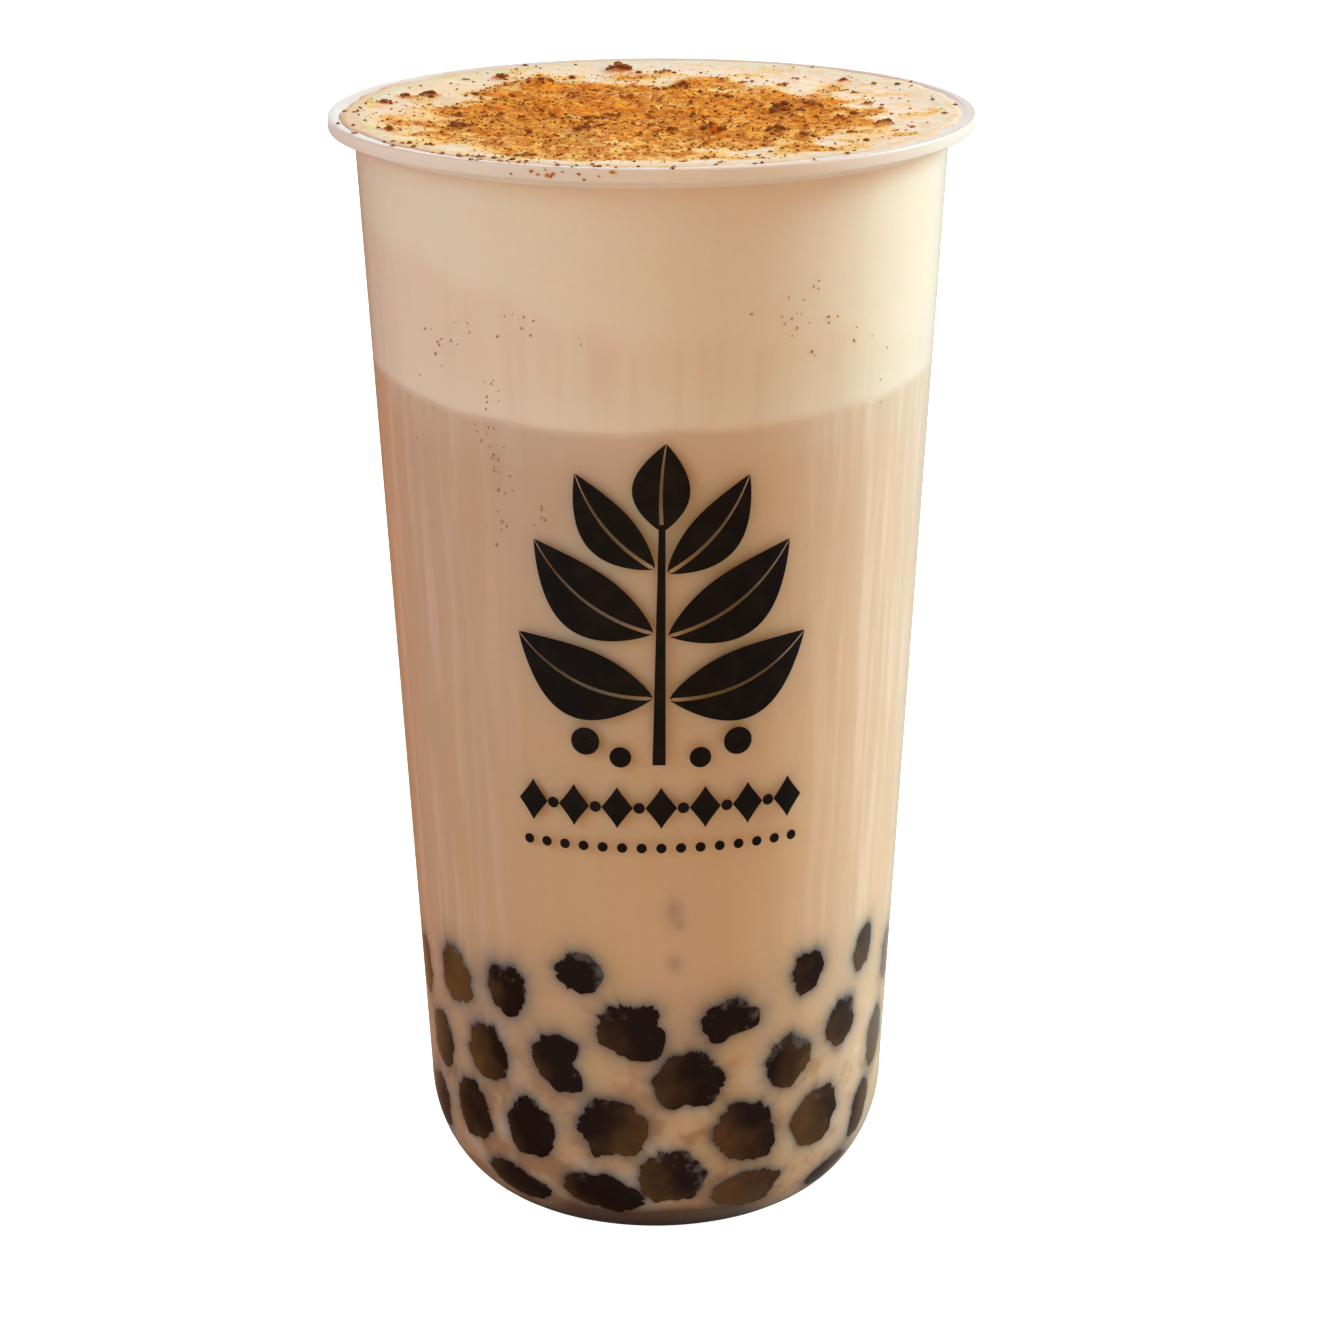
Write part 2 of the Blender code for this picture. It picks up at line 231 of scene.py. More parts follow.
PEARL_BITES = {         # pearl: (direction in degrees, depth, width in degrees); a negative depth is a lobe
    7: ((-50, -0.22, 22), (-85, 0.10, 25)), 8: ((-80, 0.34, 26), (35, 0.22, 16), (10, -0.12, 14)),
    12: ((5, 0.36, 20), (-48, -0.28, 20), (-20, 0.16, 16), (60, -0.14, 20)), 4: ((210, 0.16, 25),),
    13: ((150, 0.18, 30),), 19: ((215, 0.16, 18), (235, -0.16, 12)), 20: ((-120, 0.14, 20), (-60, -0.12, 20)),
    24: ((-25, -0.20, 22),), 2: ((-40, 0.16, 30),), 15: ((-100, 0.12, 14), (-140, -0.08, 14))}
BACK_ROWS = (8.5, 18.0, 27.5, 36.5, 43.5)
PEARL_PITCH = 14 * MM
BACK_START = math.radians(92)
BACK_END = math.radians(268)

profile_heights = np.linspace(FLOOR, CUP_HEIGHT, 4000)
profile_radii = np.array([inner_radius(z) for z in profile_heights])
profile_lengths = np.concatenate([[0], np.cumsum(np.hypot(np.diff(profile_radii), np.diff(profile_heights)))])


def length_at(height):
    """Distance along the cup's inside, from its floor's edge, at a height."""
    return np.interp(height, profile_heights, profile_lengths)


def height_at(length):
    """Height at a distance along the cup's inside."""
    return np.interp(length, profile_lengths, profile_heights)


def radius_at(length):
    """Inside radius at a distance along the cup's inside."""
    return np.interp(length, profile_lengths, profile_radii)


def pearl_places():
    """Of every pearl at the wall: its angle, place along the profile, half sizes, lean and paleness."""
    draw = random.Random(5)
    places = [(math.radians(a), z * MM, w / 2 * MM, h / 2 * MM, math.radians(lean), pale)
              for a, z, w, h, lean, pale in FRONT_PEARLS]
    for row, height in enumerate(BACK_ROWS):
        step = PEARL_PITCH / inner_radius(height * MM)
        count = int((BACK_END - BACK_START) / step)
        for i in range(count):
            angle = BACK_START + (i + 0.35 + 0.3 * (row % 2)) * (BACK_END - BACK_START) / count
            angle += draw.uniform(-1.0, 1.0) * 0.15 * step
            places.append((angle, (height + draw.uniform(-1.2, 1.2)) * MM, draw.uniform(3.4, 4.8) * MM,
                           draw.uniform(3.2, 4.6) * MM, draw.uniform(-0.5, 0.5),
                           draw.uniform(0.0, 0.7) ** 1.5))
    return [(angle, length_at(height), *rest) for angle, height, *rest in places]


OUTLINE_TURNS = np.linspace(0, 2 * math.pi, 112, endpoint=False)


def turned_from(turns, middle):
    """How far directions lie from a middle one, from minus to plus half a turn."""
    return (turns - middle + math.pi) % (2 * math.pi) - math.pi


def around(turns, middle, width):
    """A bump over directions, one at its middle and fading by its width in degrees."""
    return np.exp(-0.5 * (turned_from(turns, math.radians(middle)) / math.radians(width)) ** 2)


def face_outline(index, half_width, half_height, lean):
    """Ragged outline of a pearl's pressed face: its reach from the middle for each direction."""
    draw = random.Random(100 + index)
    phases = [draw.uniform(0, 6.28) for _ in range(5)]
    c = np.abs(np.cos(OUTLINE_TURNS - lean)) / half_width
    s = np.abs(np.sin(OUTLINE_TURNS - lean)) / half_height
    reach = (c ** 2.2 + s ** 2.2) ** (-1 / 2.2)
    corners = draw.choice((4, 5, 6))
    swell = 0.05 * np.cos(corners * OUTLINE_TURNS + phases[0])
    swell = swell + 0.04 * np.cos(3 * OUTLINE_TURNS + phases[1])
    for middle, depth, width in PEARL_BITES.get(index, ()):
        swell = swell - depth * around(OUTLINE_TURNS, middle, width)
    ragged = 0.3 + 0.7 * np.clip(np.sin(OUTLINE_TURNS + 1.3 * math.sin(phases[2])) + 0.3, 0, 1)
    rough, teeth = [], []
    for t in OUTLINE_TURNS:
        rim = Vector((math.cos(t), math.sin(t), index * 3.7))
        rough.append(noise.noise(rim * 3.5))
        teeth.append(0.8 * noise.noise(rim * 7) + 0.9 * noise.noise(rim * 14))
    patchy = np.clip(0.45 + 1.6 * np.array(rough[::-1]), 0, 1)
    return reach * (1 + swell + 0.12 * np.array(rough) + 0.19 * np.array(teeth) * ragged * patchy)


pearls_at = pearl_places()
outlines = [face_outline(i, w, h, lean) for i, (_, _, w, h, lean, _) in enumerate(pearls_at)]

# The pearls: boiled balls of tapioca starch, dark brown and slightly see-through, pressed flat
# where they lie against the wall. Between them stands the drink, so only these faces show.
FACE_SHARES = (0.3, 0.55, 0.75, 0.88, 0.96, 1.0)
PEARL_BACK = (          # behind the face: share of the ball's size, and millimetres into the cup
    (0.10, 0.30), (0.40, 1.0), (0.80, 2.6), (1.0, 4.6), (0.85, 7.4), (0.5, 9.2))
CORE_HEIGHTS = (41 * MM, 14.5 * MM, 7.2 * MM, 1.7 * MM)
CORE_INSET = 2.7 * MM
CORE_COLUMNS = 48
TAPIOCA_DARK = (0.0130, 0.0036, 0.0012)
TAPIOCA_BROWN = (0.112, 0.050, 0.013)
MILK_FILM = (0.105, 0.085, 0.080)


def on_wall(angle, length, across, along, depth):
    """Point on the cup's inside, given from a pearl's middle by distances across, along and into the cup."""
    place = length + along
    step = 0.2 * MM
    slope = np.clip((radius_at(place + step) - radius_at(place - step)) / (2 * step), -0.98, 0.98)
    out = radius_at(place) - depth * np.sqrt(1 - slope * slope)
    return round_axis(out, angle + across / radius_at(length), height_at(place) + depth * slope)


def pearl_form(index, place, outline):
    """Points and shades of one pearl, from the middle of its pressed face to the middle of its back."""
    angle, length, _, _, _, pale = place
    c, s = np.cos(OUTLINE_TURNS), np.sin(OUTLINE_TURNS)
    rings = [on_wall(angle, length, outline * share * c, outline * share * s, -PEARL_FILM)
             for share in FACE_SHARES]
    for share, depth in PEARL_BACK:
        if depth * MM < PEARL_RADIUS:
            reach = outline + (PEARL_RADIUS - outline) * share
        else:
            reach = PEARL_RADIUS * share + 0 * outline
        rings.append(on_wall(angle, length, reach * c, reach * s, depth * MM))
    draw = random.Random(300 + index)
    lean = draw.uniform(0.15, 0.45) * (1 if draw.random() < 0.75 else -1)
    film_turn, film_share = draw.uniform(0.5, 2.6), draw.uniform(0.0, 0.75) ** 1.3
    film_side = 0.45 + 0.55 * np.cos(OUTLINE_TURNS - film_turn)
    shares = (*FACE_SHARES, *(share for share, _ in PEARL_BACK))
    tones = [pale - lean * share * c - 0.10 * share * s for share in shares]
    films = [film_share * share * film_side + 0.25 * share ** 3 for share in shares]
    return np.array(rings), np.array(tones), np.array(films)


def keep_values(piece, name, values):
    """Store one value for each point of a piece, under a name that its material reads."""
    kept = piece.data.attributes.new(name, "FLOAT", "POINT")
    kept.data.foreach_set("value", np.asarray(values).astype(np.float32))


def make_pearls(material):
    """All the pearls over the heap's plain core, as one piece with a shade for each point."""
    points, faces, shades, milky = [], [], [], []
    plain = np.zeros((len(CORE_HEIGHTS), CORE_COLUMNS))
    core = spun([(inner_radius(z) - CORE_INSET, z) for z in CORE_HEIGHTS], CORE_COLUMNS)
    forms = [(core, plain, plain)] + [pearl_form(i, place, outlines[i]) for i, place in enumerate(pearls_at)]
    for index, (rings, tones, films) in enumerate(forms):
        rows, columns, _ = rings.shape
        new = closed_faces(rows, columns, len(points))
        faces += new if index == 0 else [face[::-1] for face in new]
        first, last = rings[0].mean(axis=0), rings[-1].mean(axis=0)
        points += [first.tolist(), *rings.reshape(-1, 3).tolist(), last.tolist()]
        shades += [tones[0].mean(), *tones.reshape(-1).tolist(), tones[-1].mean()]
        milky += [0, *films.reshape(-1).tolist(), 0]
    piece = mesh_piece("tapioca_pearls", points, faces, material)
    keep_values(piece, "tone", shades)
    keep_values(piece, "film", milky)
    return piece


def new_node(tree, kind, **settings):
    """A new node in a tree, with its plain settings."""
    node = tree.nodes.new(kind)
    for name, value in settings.items():
        setattr(node, name, value)
    return node


def attribute(tree, name):
    """The values that a mesh stores under a name."""
    return new_node(tree, "ShaderNodeAttribute", attribute_name=name).outputs["Fac"]


def place_noise(tree, scale, detail=3, stretch=(1, 1, 1)):
    """Noise through the object's own space, stretched along an axis where it streaks."""
    where = tree.nodes.new("ShaderNodeTexCoord")
    mapping = tree.nodes.new("ShaderNodeMapping")
    mapping.inputs["Scale"].default_value = stretch
    tree.links.new(where.outputs["Object"], mapping.inputs["Vector"])
    texture = tree.nodes.new("ShaderNodeTexNoise")
    texture.inputs["Scale"].default_value = scale
    texture.inputs["Detail"].default_value = detail
    tree.links.new(mapping.outputs["Vector"], texture.inputs["Vector"])
    return texture.outputs["Fac"]


def remap(tree, value, low, high, to_low=0.0, to_high=1.0):
    """A value moved smoothly from one range to another."""
    node = new_node(tree, "ShaderNodeMapRange", interpolation_type="SMOOTHSTEP")
    tree.links.new(value, node.inputs["Value"])
    for name, number in (("From Min", low), ("From Max", high), ("To Min", to_low), ("To Max", to_high)):
        node.inputs[name].default_value = number
    return node.outputs["Result"]


def arithmetic(tree, operation, *values):
    """One step of arithmetic on sockets or numbers."""
    node = new_node(tree, "ShaderNodeMath", operation=operation)
    for socket, value in zip(node.inputs, values):
        if isinstance(value, (int, float)):
            socket.default_value = value
        else:
            tree.links.new(value, socket)
    return node.outputs["Value"]


def blended(tree, share, first, second, blend_type="MIX"):
    """Two colours mixed by a share, each a socket or a plain colour."""
    node = new_node(tree, "ShaderNodeMix", data_type="RGBA", blend_type=blend_type)
    for socket, value in ((node.inputs["Factor"], share), (node.inputs[6], first), (node.inputs[7], second)):
        if isinstance(value, (int, float)):
            socket.default_value = value
        elif isinstance(value, tuple):
            socket.default_value = (*value, 1)
        else:
            tree.links.new(value, socket)
    return node.outputs[2]


def total(tree, first, second):
    """Two values added."""
    return arithmetic(tree, "ADD", first, second)


def product(tree, first, second):
    """Two values multiplied."""
    return arithmetic(tree, "MULTIPLY", first, second)


def swing(tree, value, width):
    """Noise moved to swing evenly round nought, and widened."""
    return product(tree, arithmetic(tree, "SUBTRACT", value, 0.5), width)


def laid_over(tree, under, value, edges, colour):
    """A colour laid over another where a value passes from one edge to the next, fully or within a share."""
    return blended(tree, remap(tree, value, *edges), under, colour)


def new_material(name, roughness, specular=0.5):
    """A material with its tree and its Principled shader."""
    material = bpy.data.materials.new(name)
    material.use_nodes = True
    shader = material.node_tree.nodes["Principled BSDF"]
    shader.inputs["Roughness"].default_value = roughness
    shader.inputs["Specular IOR Level"].default_value = specular
    return material, material.node_tree, shader


tapioca, tree, shader = new_material("tapioca", 0.35, specular=0.05)
tone = total(tree, attribute(tree, "tone"), swing(tree, place_noise(tree, 190), 0.9))
brown = laid_over(tree, TAPIOCA_DARK, tone, (0.12, 0.9), TAPIOCA_BROWN)
film = total(tree, attribute(tree, "film"), swing(tree, place_noise(tree, 620, detail=5), 2.2))
tree.links.new(laid_over(tree, brown, film, (0.42, 0.95, 0, 0.85), MILK_FILM), shader.inputs["Base Color"])
pearls = make_pearls(tapioca)
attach(pearls, "root")
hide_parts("pearls")

# The milk tea: an opaque tan drink that fills the cup round the pearls and stands over them up
# to the foam. It wets the wall, so it reaches a hair into the plastic, and greys over each pearl.
# Its colour carries painted light as well: painted shade darkens it towards the foot, and painted tints
# darken the tea on the left and lighten it on the right.
WETTING = 0.12 * MM
FOAM_LINE = 125.3 * MM
FOAM_LINE_WAVE = 1.4 * MM
DRINK_COLUMNS = 400
CORNER = 0.002            # share of a side that a crisp corner takes
FINE_TOP = 58 * MM        # below it the rings lie close, for the pearls' soft shades
FINE_RINGS = 120
MILK_DEPTH = 7 * MM
LAP_RISE = 37             # the mark of the thin lap of foam on the rim, where no light goes deep
TOP_SHARES = (0.2, 0.5, 0.8, 0.998)
HIDDEN_RISE = -3          # the mark of the tea's top, which the foam hides
SIDE_SHARES = (1, 1 - CORNER, *np.linspace(1, 0, 70)[1:-1])
FAINT_PEARLS = (        # pearls deeper in: degrees round, height and half sizes in millimetres
    (4.2, 54.6, 0.9, 1.6), (5.4, 52.6, 0.7, 0.8), (4.5, 46.5, 0.8, 1.0))
FAINT_SHADE = 0.36
# Painted shade: the height over the floor within which the drink is greyed towards the foot.
FOOT_SHADE = 7 * MM
SHADE_SIDE = math.radians(125)
SHADE_DEPTH = (0.66, 0.88)
SHADE_REACH = (1.05, 1.75)  # millimetres in which the grey round a pearl fades
SHADE_END = 12 * MM
TEA_HIGH = (0.69, 0.475, 0.32)
TEA_LOW = (0.72, 0.465, 0.255)
TEA_WARM = (0.72, 0.475, 0.295)
TEA_GREY = (0.65, 0.46, 0.32)
TEA_PALE = (0.80, 0.62, 0.46)
TEA_MURK = (0.52, 0.26, 0.105)
# Painted shade: the dark brown the tea is painted low at the foot, round the middle of the front and back.
TEA_FOOT_SHADE = (0.12, 0.058, 0.026)
# Painted light and shade: tints that darken the tea on the left, lighten it on the right and warm and darken
# its far left edge.
TEA_LEFT_PAINTED_SHADE = (0.88, 0.86, 0.88)
TEA_RIGHT_PAINTED_LIGHT = (1.03, 1.10, 1.12)
TEA_EDGE_PAINTED_SHADE = (0.98, 0.84, 0.78)
FOAM_PINK = (0.84, 0.67, 0.51)
FOAM_TAN = (0.83, 0.64, 0.47)
FOAM_BEIGE = (0.83, 0.69, 0.505)
FOAM_CREAM = (0.85, 0.71, 0.53)
FOAM_STREAK = (0.80, 0.59, 0.43)
PINK_TILT = 170           # how much higher the pink part of the foam stands on the left
# Grey laid over the pearls, and also the painted shade at the foot.
PEARL_GREY_AND_FOOT_SHADE = (0.100, 0.092, 0.112)


def foam_line(turn):
    """Height of the line between tea and foam at the wall, in each direction round the cup."""
    wave = -FOAM_LINE_WAVE * np.cos(2 * turn) + 0.25 * FOAM_LINE_WAVE * np.sin(3 * turn + 0.6)
    ripple = 0.15 * MM * np.sin(11 * turn + 1.0) + 0.10 * MM * np.sin(19 * turn)
    return FOAM_LINE + wave + ripple


def pearl_and_foot_shade(turn, length):
    """How strongly the pearls grey the drink in front of them, and the painted shade that greys it towards
    the cup's foot, for points on the wall.
    """
    shade = np.zeros(np.broadcast(turn, length).shape)
    for index, (angle, middle, *_) in enumerate(pearls_at):
        across = turned_from(turn, angle) * radius_at(middle)
        along = length - middle
        reach = np.hypot(across, along)
        near = reach < SHADE_END
        toward = np.arctan2(along, across)[near]
        edge = np.interp(toward % (2 * math.pi), OUTLINE_TURNS, outlines[index], period=2 * math.pi)
        beyond = np.maximum(reach[near] - edge, 0)
        draw = random.Random(700 + index)
        depth = draw.uniform(*SHADE_DEPTH) * (1 + 0.22 * np.cos(toward - SHADE_SIDE))
        cast = np.minimum(depth, 0.95) * np.exp(-(beyond / (draw.uniform(*SHADE_REACH) * MM)))
        shade[near] = 1 - (1 - shade[near]) * (1 - cast)
    for angle, height, half_width, half_height in FAINT_PEARLS:
        across = turned_from(turn, math.radians(angle)) * inner_radius(height * MM) / (half_width * MM)
        along = (length - length_at(height * MM)) / (half_height * MM)
        shade = np.maximum(shade, FAINT_SHADE * np.exp(-0.5 * (across ** 2 + along ** 2)))
    # Painted shade: the drink greys towards the cup's foot.
    foot = np.clip(1 - height_at(length) / FOOT_SHADE, 0, 1)
    return np.maximum(shade, 0.9 * foot)


def wetted_radius(heights):
    """Radius of what fills the cup at each height: its inside and a hair into the wall."""
    return np.array([inner_radius(z) for z in heights]) + WETTING


turn = np.linspace(0, 2 * math.pi, DRINK_COLUMNS, endpoint=False)
line = foam_line(turn)
drink_rings, rise = [], []
for share in TOP_SHARES:
    height = FOAM_LINE + (line - FOAM_LINE) * share / TOP_SHARES[-1]
    drink_rings.append(round_axis((inner_radius(FOAM_LINE) + WETTING) * share, turn, height))
    rise.append(0 * turn + HIDDEN_RISE)
for share in SIDE_SHARES:
    height = FINE_TOP + (line - FINE_TOP) * share
    drink_rings.append(round_axis(wetted_radius(height), turn, height))
    rise.append((height - line) / MM)
for length in np.linspace(0, length_at(FINE_TOP), FINE_RINGS)[::-1]:
    height = height_at(length)
    sunk = WETTING if height < 2 * MM else 0
    drink_rings.append(round_axis(inner_radius(height) + WETTING, turn, height - sunk))
    rise.append((height - line) / MM)
rings = np.array(drink_rings)
lengths = length_at(rings[..., 2])
shade = pearl_and_foot_shade(np.broadcast_to(turn, lengths.shape), lengths)
shade[:len(TOP_SHARES)] = 0


def object_place(tree):
    """The place in the object's own space, as its X, Y and Z."""
    place = tree.nodes.new("ShaderNodeSeparateXYZ")
    tree.links.new(tree.nodes.new("ShaderNodeTexCoord").outputs["Object"], place.inputs["Vector"])
    return place.outputs


def drink_colour_group():
    """Colour of the drink and its foam seen through the wall, by the height over the line between them, with
    painted shade at the foot and painted light and shade across the tea from left to right.
    """
    group = bpy.data.node_groups.new("drink through the wall", "ShaderNodeTree")
    for name in ("Rise", "Pearl And Foot Shade"):
        group.interface.new_socket(name, in_out="INPUT", socket_type="NodeSocketFloat")
    group.interface.new_socket("Color", in_out="OUTPUT", socket_type="NodeSocketColor")
    given = group.nodes.new("NodeGroupInput").outputs
    result = group.nodes.new("NodeGroupOutput")
    x = object_place(group)["X"]
    streaks = place_noise(group, 60, detail=4, stretch=(1, 1, 0.09))
    fine_streaks = place_noise(group, 210, detail=3, stretch=(1, 1, 0.05))
    threads = place_noise(group, 430, detail=3, stretch=(1, 1, 0.035))
    murk = place_noise(group, 190, detail=5)
    wobble = arithmetic(group, "SUBTRACT", place_noise(group, 45, detail=3), 0.5)
    rise = total(group, given["Rise"], product(group, wobble, 1.6))
    sideways = arithmetic(group, "ABSOLUTE", x)
    beside = product(group, remap(group, sideways, 12 * MM, 33 * MM, 0.1, 1.0),
                     remap(group, given["Rise"], -100, -75))
    # Painted shade at the foot: dark brown low on the tea, round the middle of the front and back.
    in_foot_shade = product(group, remap(group, given["Rise"], -115.6, -118.4, 0, 0.94),
                      remap(group, sideways, 21 * MM, 10 * MM))
    deep = remap(group, given["Rise"], -84, -106)
    tea = laid_over(group, TEA_LOW, rise, (-70, -10), TEA_HIGH)
    tea = laid_over(group, tea, streaks, (0.40, 0.66), TEA_WARM)
    tea = laid_over(group, tea, fine_streaks, (0.55, 0.75, 0, 0.5), TEA_GREY)
    for pattern, where, edges, shade in (
            (threads, beside, (0.46, 0.70, 0, 0.6), TEA_PALE),
            (threads, beside, (0.52, 0.32, 0, 0.6), TEA_GREY),
            (murk, deep, (0.51, 0.64, 0, 0.8), TEA_MURK),
            (murk, deep, (0.46, 0.36, 0, 0.6), TEA_PALE)):
        tea = blended(group, product(group, remap(group, pattern, *edges), where), tea, shade)
    tea = blended(group, in_foot_shade, tea, TEA_FOOT_SHADE)
    # Painted light and shade: the tea is darkened on the left, lightened on the right and darkened warm at
    # its far left edge.
    tint = laid_over(group, TEA_LEFT_PAINTED_SHADE, x, (-35 * MM, 35 * MM), TEA_RIGHT_PAINTED_LIGHT)
    tint = laid_over(group, tint, x, (-31 * MM, -38 * MM), TEA_EDGE_PAINTED_SHADE)
    tea = blended(group, 1.0, tea, tint, "MULTIPLY")
    low_foam = laid_over(group, FOAM_PINK, streaks, (0.35, 0.65), FOAM_TAN)
    low_foam = laid_over(group, low_foam, x, (-22 * MM, 8 * MM), FOAM_BEIGE)
    low_foam = laid_over(group, low_foam, fine_streaks, (0.52, 0.72, 0, 0.55), FOAM_STREAK)
    low_foam = laid_over(group, low_foam, threads, (0.50, 0.72, 0, 0.35), FOAM_STREAK)
    lift = total(group, total(group, rise, product(group, wobble, 14)), product(group, x, PINK_TILT))
    foam = laid_over(group, low_foam, lift, (12, 16), FOAM_CREAM)
    body = laid_over(group, tea, rise, (-1.0, 1.0), foam)
    # Grey over the pearls, and painted shade at the foot.
    body = blended(group, given["Pearl And Foot Shade"], body, PEARL_GREY_AND_FOOT_SHADE)
    group.links.new(body, result.inputs["Color"])
    return group


drink_colour = drink_colour_group()


def drink_material(name, roughness, specular):
    """A material whose colour is the drink's, from the mesh's heights and pearl shades."""
    material, tree, shader = new_material(name, roughness, specular)
    colour = new_node(tree, "ShaderNodeGroup", node_tree=drink_colour)
    rise = attribute(tree, "rise")
    tree.links.new(rise, colour.inputs["Rise"])
    tree.links.new(attribute(tree, "pearl_and_foot_shade"), colour.inputs["Pearl And Foot Shade"])
    tree.links.new(colour.outputs["Color"], shader.inputs["Base Color"])
    shader.inputs["Subsurface Radius"].default_value = (1.0, 0.5, 0.25)
    shader.inputs["Subsurface Scale"].default_value = MILK_DEPTH
    from_line = arithmetic(tree, "ABSOLUTE", rise)
    from_lap = arithmetic(tree, "ABSOLUTE", arithmetic(tree, "SUBTRACT", rise, LAP_RISE))
    depth = product(tree, remap(tree, from_line, 0.5, 9), remap(tree, from_lap, 0.5, 3))
    tree.links.new(depth, shader.inputs["Subsurface Weight"])
    return material, tree, shader, colour


def store(piece, name, values, ends=(0.0, 0.0)):
    """Keep a value for each ring point of a turned piece, and one for each of its two poles."""
    keep_values(piece, name, np.concatenate([[ends[0]], np.asarray(values).reshape(-1), [ends[1]]]))


milk, tree, shader, _ = drink_material("milk tea", 0.4, 0.1)
tea = turned_piece("milk_tea_body", rings, (0, 0, FOAM_LINE), (0, 0, FLOOR - WETTING), milk)
store(tea, "rise", rise, (HIDDEN_RISE, -120))
store(tea, "pearl_and_foot_shade", shade)
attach(tea, "root")
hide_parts("milk_tea")

# The foam: thick whipped cream poured on last, level with the brim and lapping onto the rim's
# inner rounding. Its top swells softly, rises in a mound at the back left, and is crumbly and
# orange where the powder lies.
FOAM_COLUMNS = 440
TOP_RINGS = 150
SIDE_RINGS = 41
UNDER_SHARES = (0.998, 0.7, 0.35)
FOAM_TOP = CUP_HEIGHT - 0.4 * MM
FOAM_SWELL = 0.6 * MM
LAP_REACH = 2.3 * MM
LAP_TOP = CUP_HEIGHT - 0.05 * MM
TOP_RISE = 40             # the mark of the foam's open top
TOP_RISE_FROM = (35.5, 36.5)
SIDE_TOP = CUP_HEIGHT - 1.3 * MM
MOUND = (-16.5 * MM, 20.5 * MM)
MOUND_HEIGHT = 1.2 * MM
MOUND_SPREAD = 2.6 * MM
POWDER_MIDDLE = (-1, -6)
POWDER_EDGE = (         # outline of the powdered field on the foam, in millimetres to the right and back
    (-35, -8), (-31, 8), (-24, 17), (-19, 30), (-11, 28), (-2, 27), (7, 25), (15, 23), (22, 18), (29, 8),
    (32, -6), (27, -19), (20, -29), (7, -37), (-7, -35), (-20, -32), (-30, -21))
LUMPS = (               # right, back and width in millimetres; the first 28 lie on the solid's own
    (-16, 19.5, 1.9), (-13.5, -5.5, 1.9), (-8.5, -5, 2.0), (-9, -15, 2.4), (-26.5, -11, 2.6),
    (-4.5, 35.5, 3.4), (-16.5, -33.5, 2.0), (10.5, 11, 2.6), (6.5, -5, 1.9), (3, -15, 1.7), (8, -15.5, 2.8),
    (18, 2, 3.3), (22.5, 2.5, 2.8), (26, -7.5, 1.7), (17, -15, 2.6), (20.5, -20.5, 2.2), (4.5, 22.5, 2.2),
    (2, 32.5, 1.9), (-35, 12.5, 2.0), (-31.5, 14.5, 2.6), (-35.5, -14.5, 2.2), (-37.5, 7, 2.0),
    (-22, 29.5, 2.0), (-22, 10.5, 1.4), (-6, -3, 1.5), (-27, -1, 1.5), (-21, -3, 1.3), (28, 25, 1.3),
    (-14.5, 20.5, 1.1), (-24, 10.5, 0.8), (-15.5, 0.5, 1.4), (-18, -5, 1.1), (-7, -11.5, 1.3),
    (-24.5, -11, 1.3), (-13, -18, 0.9), (-11, 12, 1.1), (-3, 12, 1.1), (-18, 4, 1.1), (-1.5, -18.5, 1.3),
    (0.5, -19, 1.1), (1.5, -8.5, 1.1), (0, -11, 1.1), (3, 2.5, 1.1), (19.5, -3.5, 1.1), (13, -13, 1.1),
    (7, -24.5, 1.1), (13, 23, 1.1), (21, 26, 1.1), (19, 21.5, 1.3), (14, -34, 0.7), (9, -40, 0.7),
    (7, -35.5, 1.1), (3, 17.5, 1.1), (24, -30.5, 0.7), (-41, -1, 0.9), (-34.5, -24, 0.9),
    (-29.5, -26.5, 1.1), (-27, 27, 0.9), (-23, -38, 0.9), (29, 15, 0.9), (30.5, 5.5, 1.4), (32, -10.5, 2.2),
    (27, -17.5, 1.6), (40.5, -4.5, 0.9))
LUMP_RELIEF = 0.24
POWDER_FADE = 15          # millimetres over which the powder thins out at its edge
CREAM_PALE = (0.86, 0.71, 0.53)
CREAM_WARM = (0.84, 0.63, 0.42)
CREAM_DUSTY = (0.83, 0.585, 0.345)
DUST_FRINGE = (0.88, 0.50, 0.14)
DUST_GOLD = (0.91, 0.48, 0.10)
DUST_LIGHT = (0.86, 0.30, 0.022)
DUST_DEEP = (0.64, 0.18, 0.016)
DUST_BROWN = (0.38, 0.105, 0.012)
DUST_DARK = (0.18, 0.047, 0.009)


def noise_at(x, y, scale, seed=0.0):
    """Smooth noise for arrays of places in metres."""
    flat = [noise.noise(Vector((a * scale, b * scale, seed))) for a, b in zip(x.ravel(), y.ravel())]
    return np.array(flat).reshape(x.shape)


def powder_share(x, y):
    """How thickly the powder lies at a place on the foam, from 0 to 1."""
    edge = np.array(POWDER_EDGE) - POWDER_MIDDLE
    across, along = x / MM - POWDER_MIDDLE[0], y / MM - POWDER_MIDDLE[1]
    edge = edge[np.argsort(np.arctan2(edge[:, 1], edge[:, 0]))]
    limit = np.interp(np.arctan2(along, across), np.arctan2(edge[:, 1], edge[:, 0]), np.hypot(*edge.T),
                      period=2 * math.pi)
    inside = (limit - np.hypot(across, along)) / POWDER_FADE
    inside = inside + 0.6 * noise_at(x, y, 85, 3.1) + 0.7 * noise_at(x, y, 230, 8.4)
    share = np.clip((inside + 0.5) / 1.3, 0, 1)
    return share * share * (3 - 2 * share)


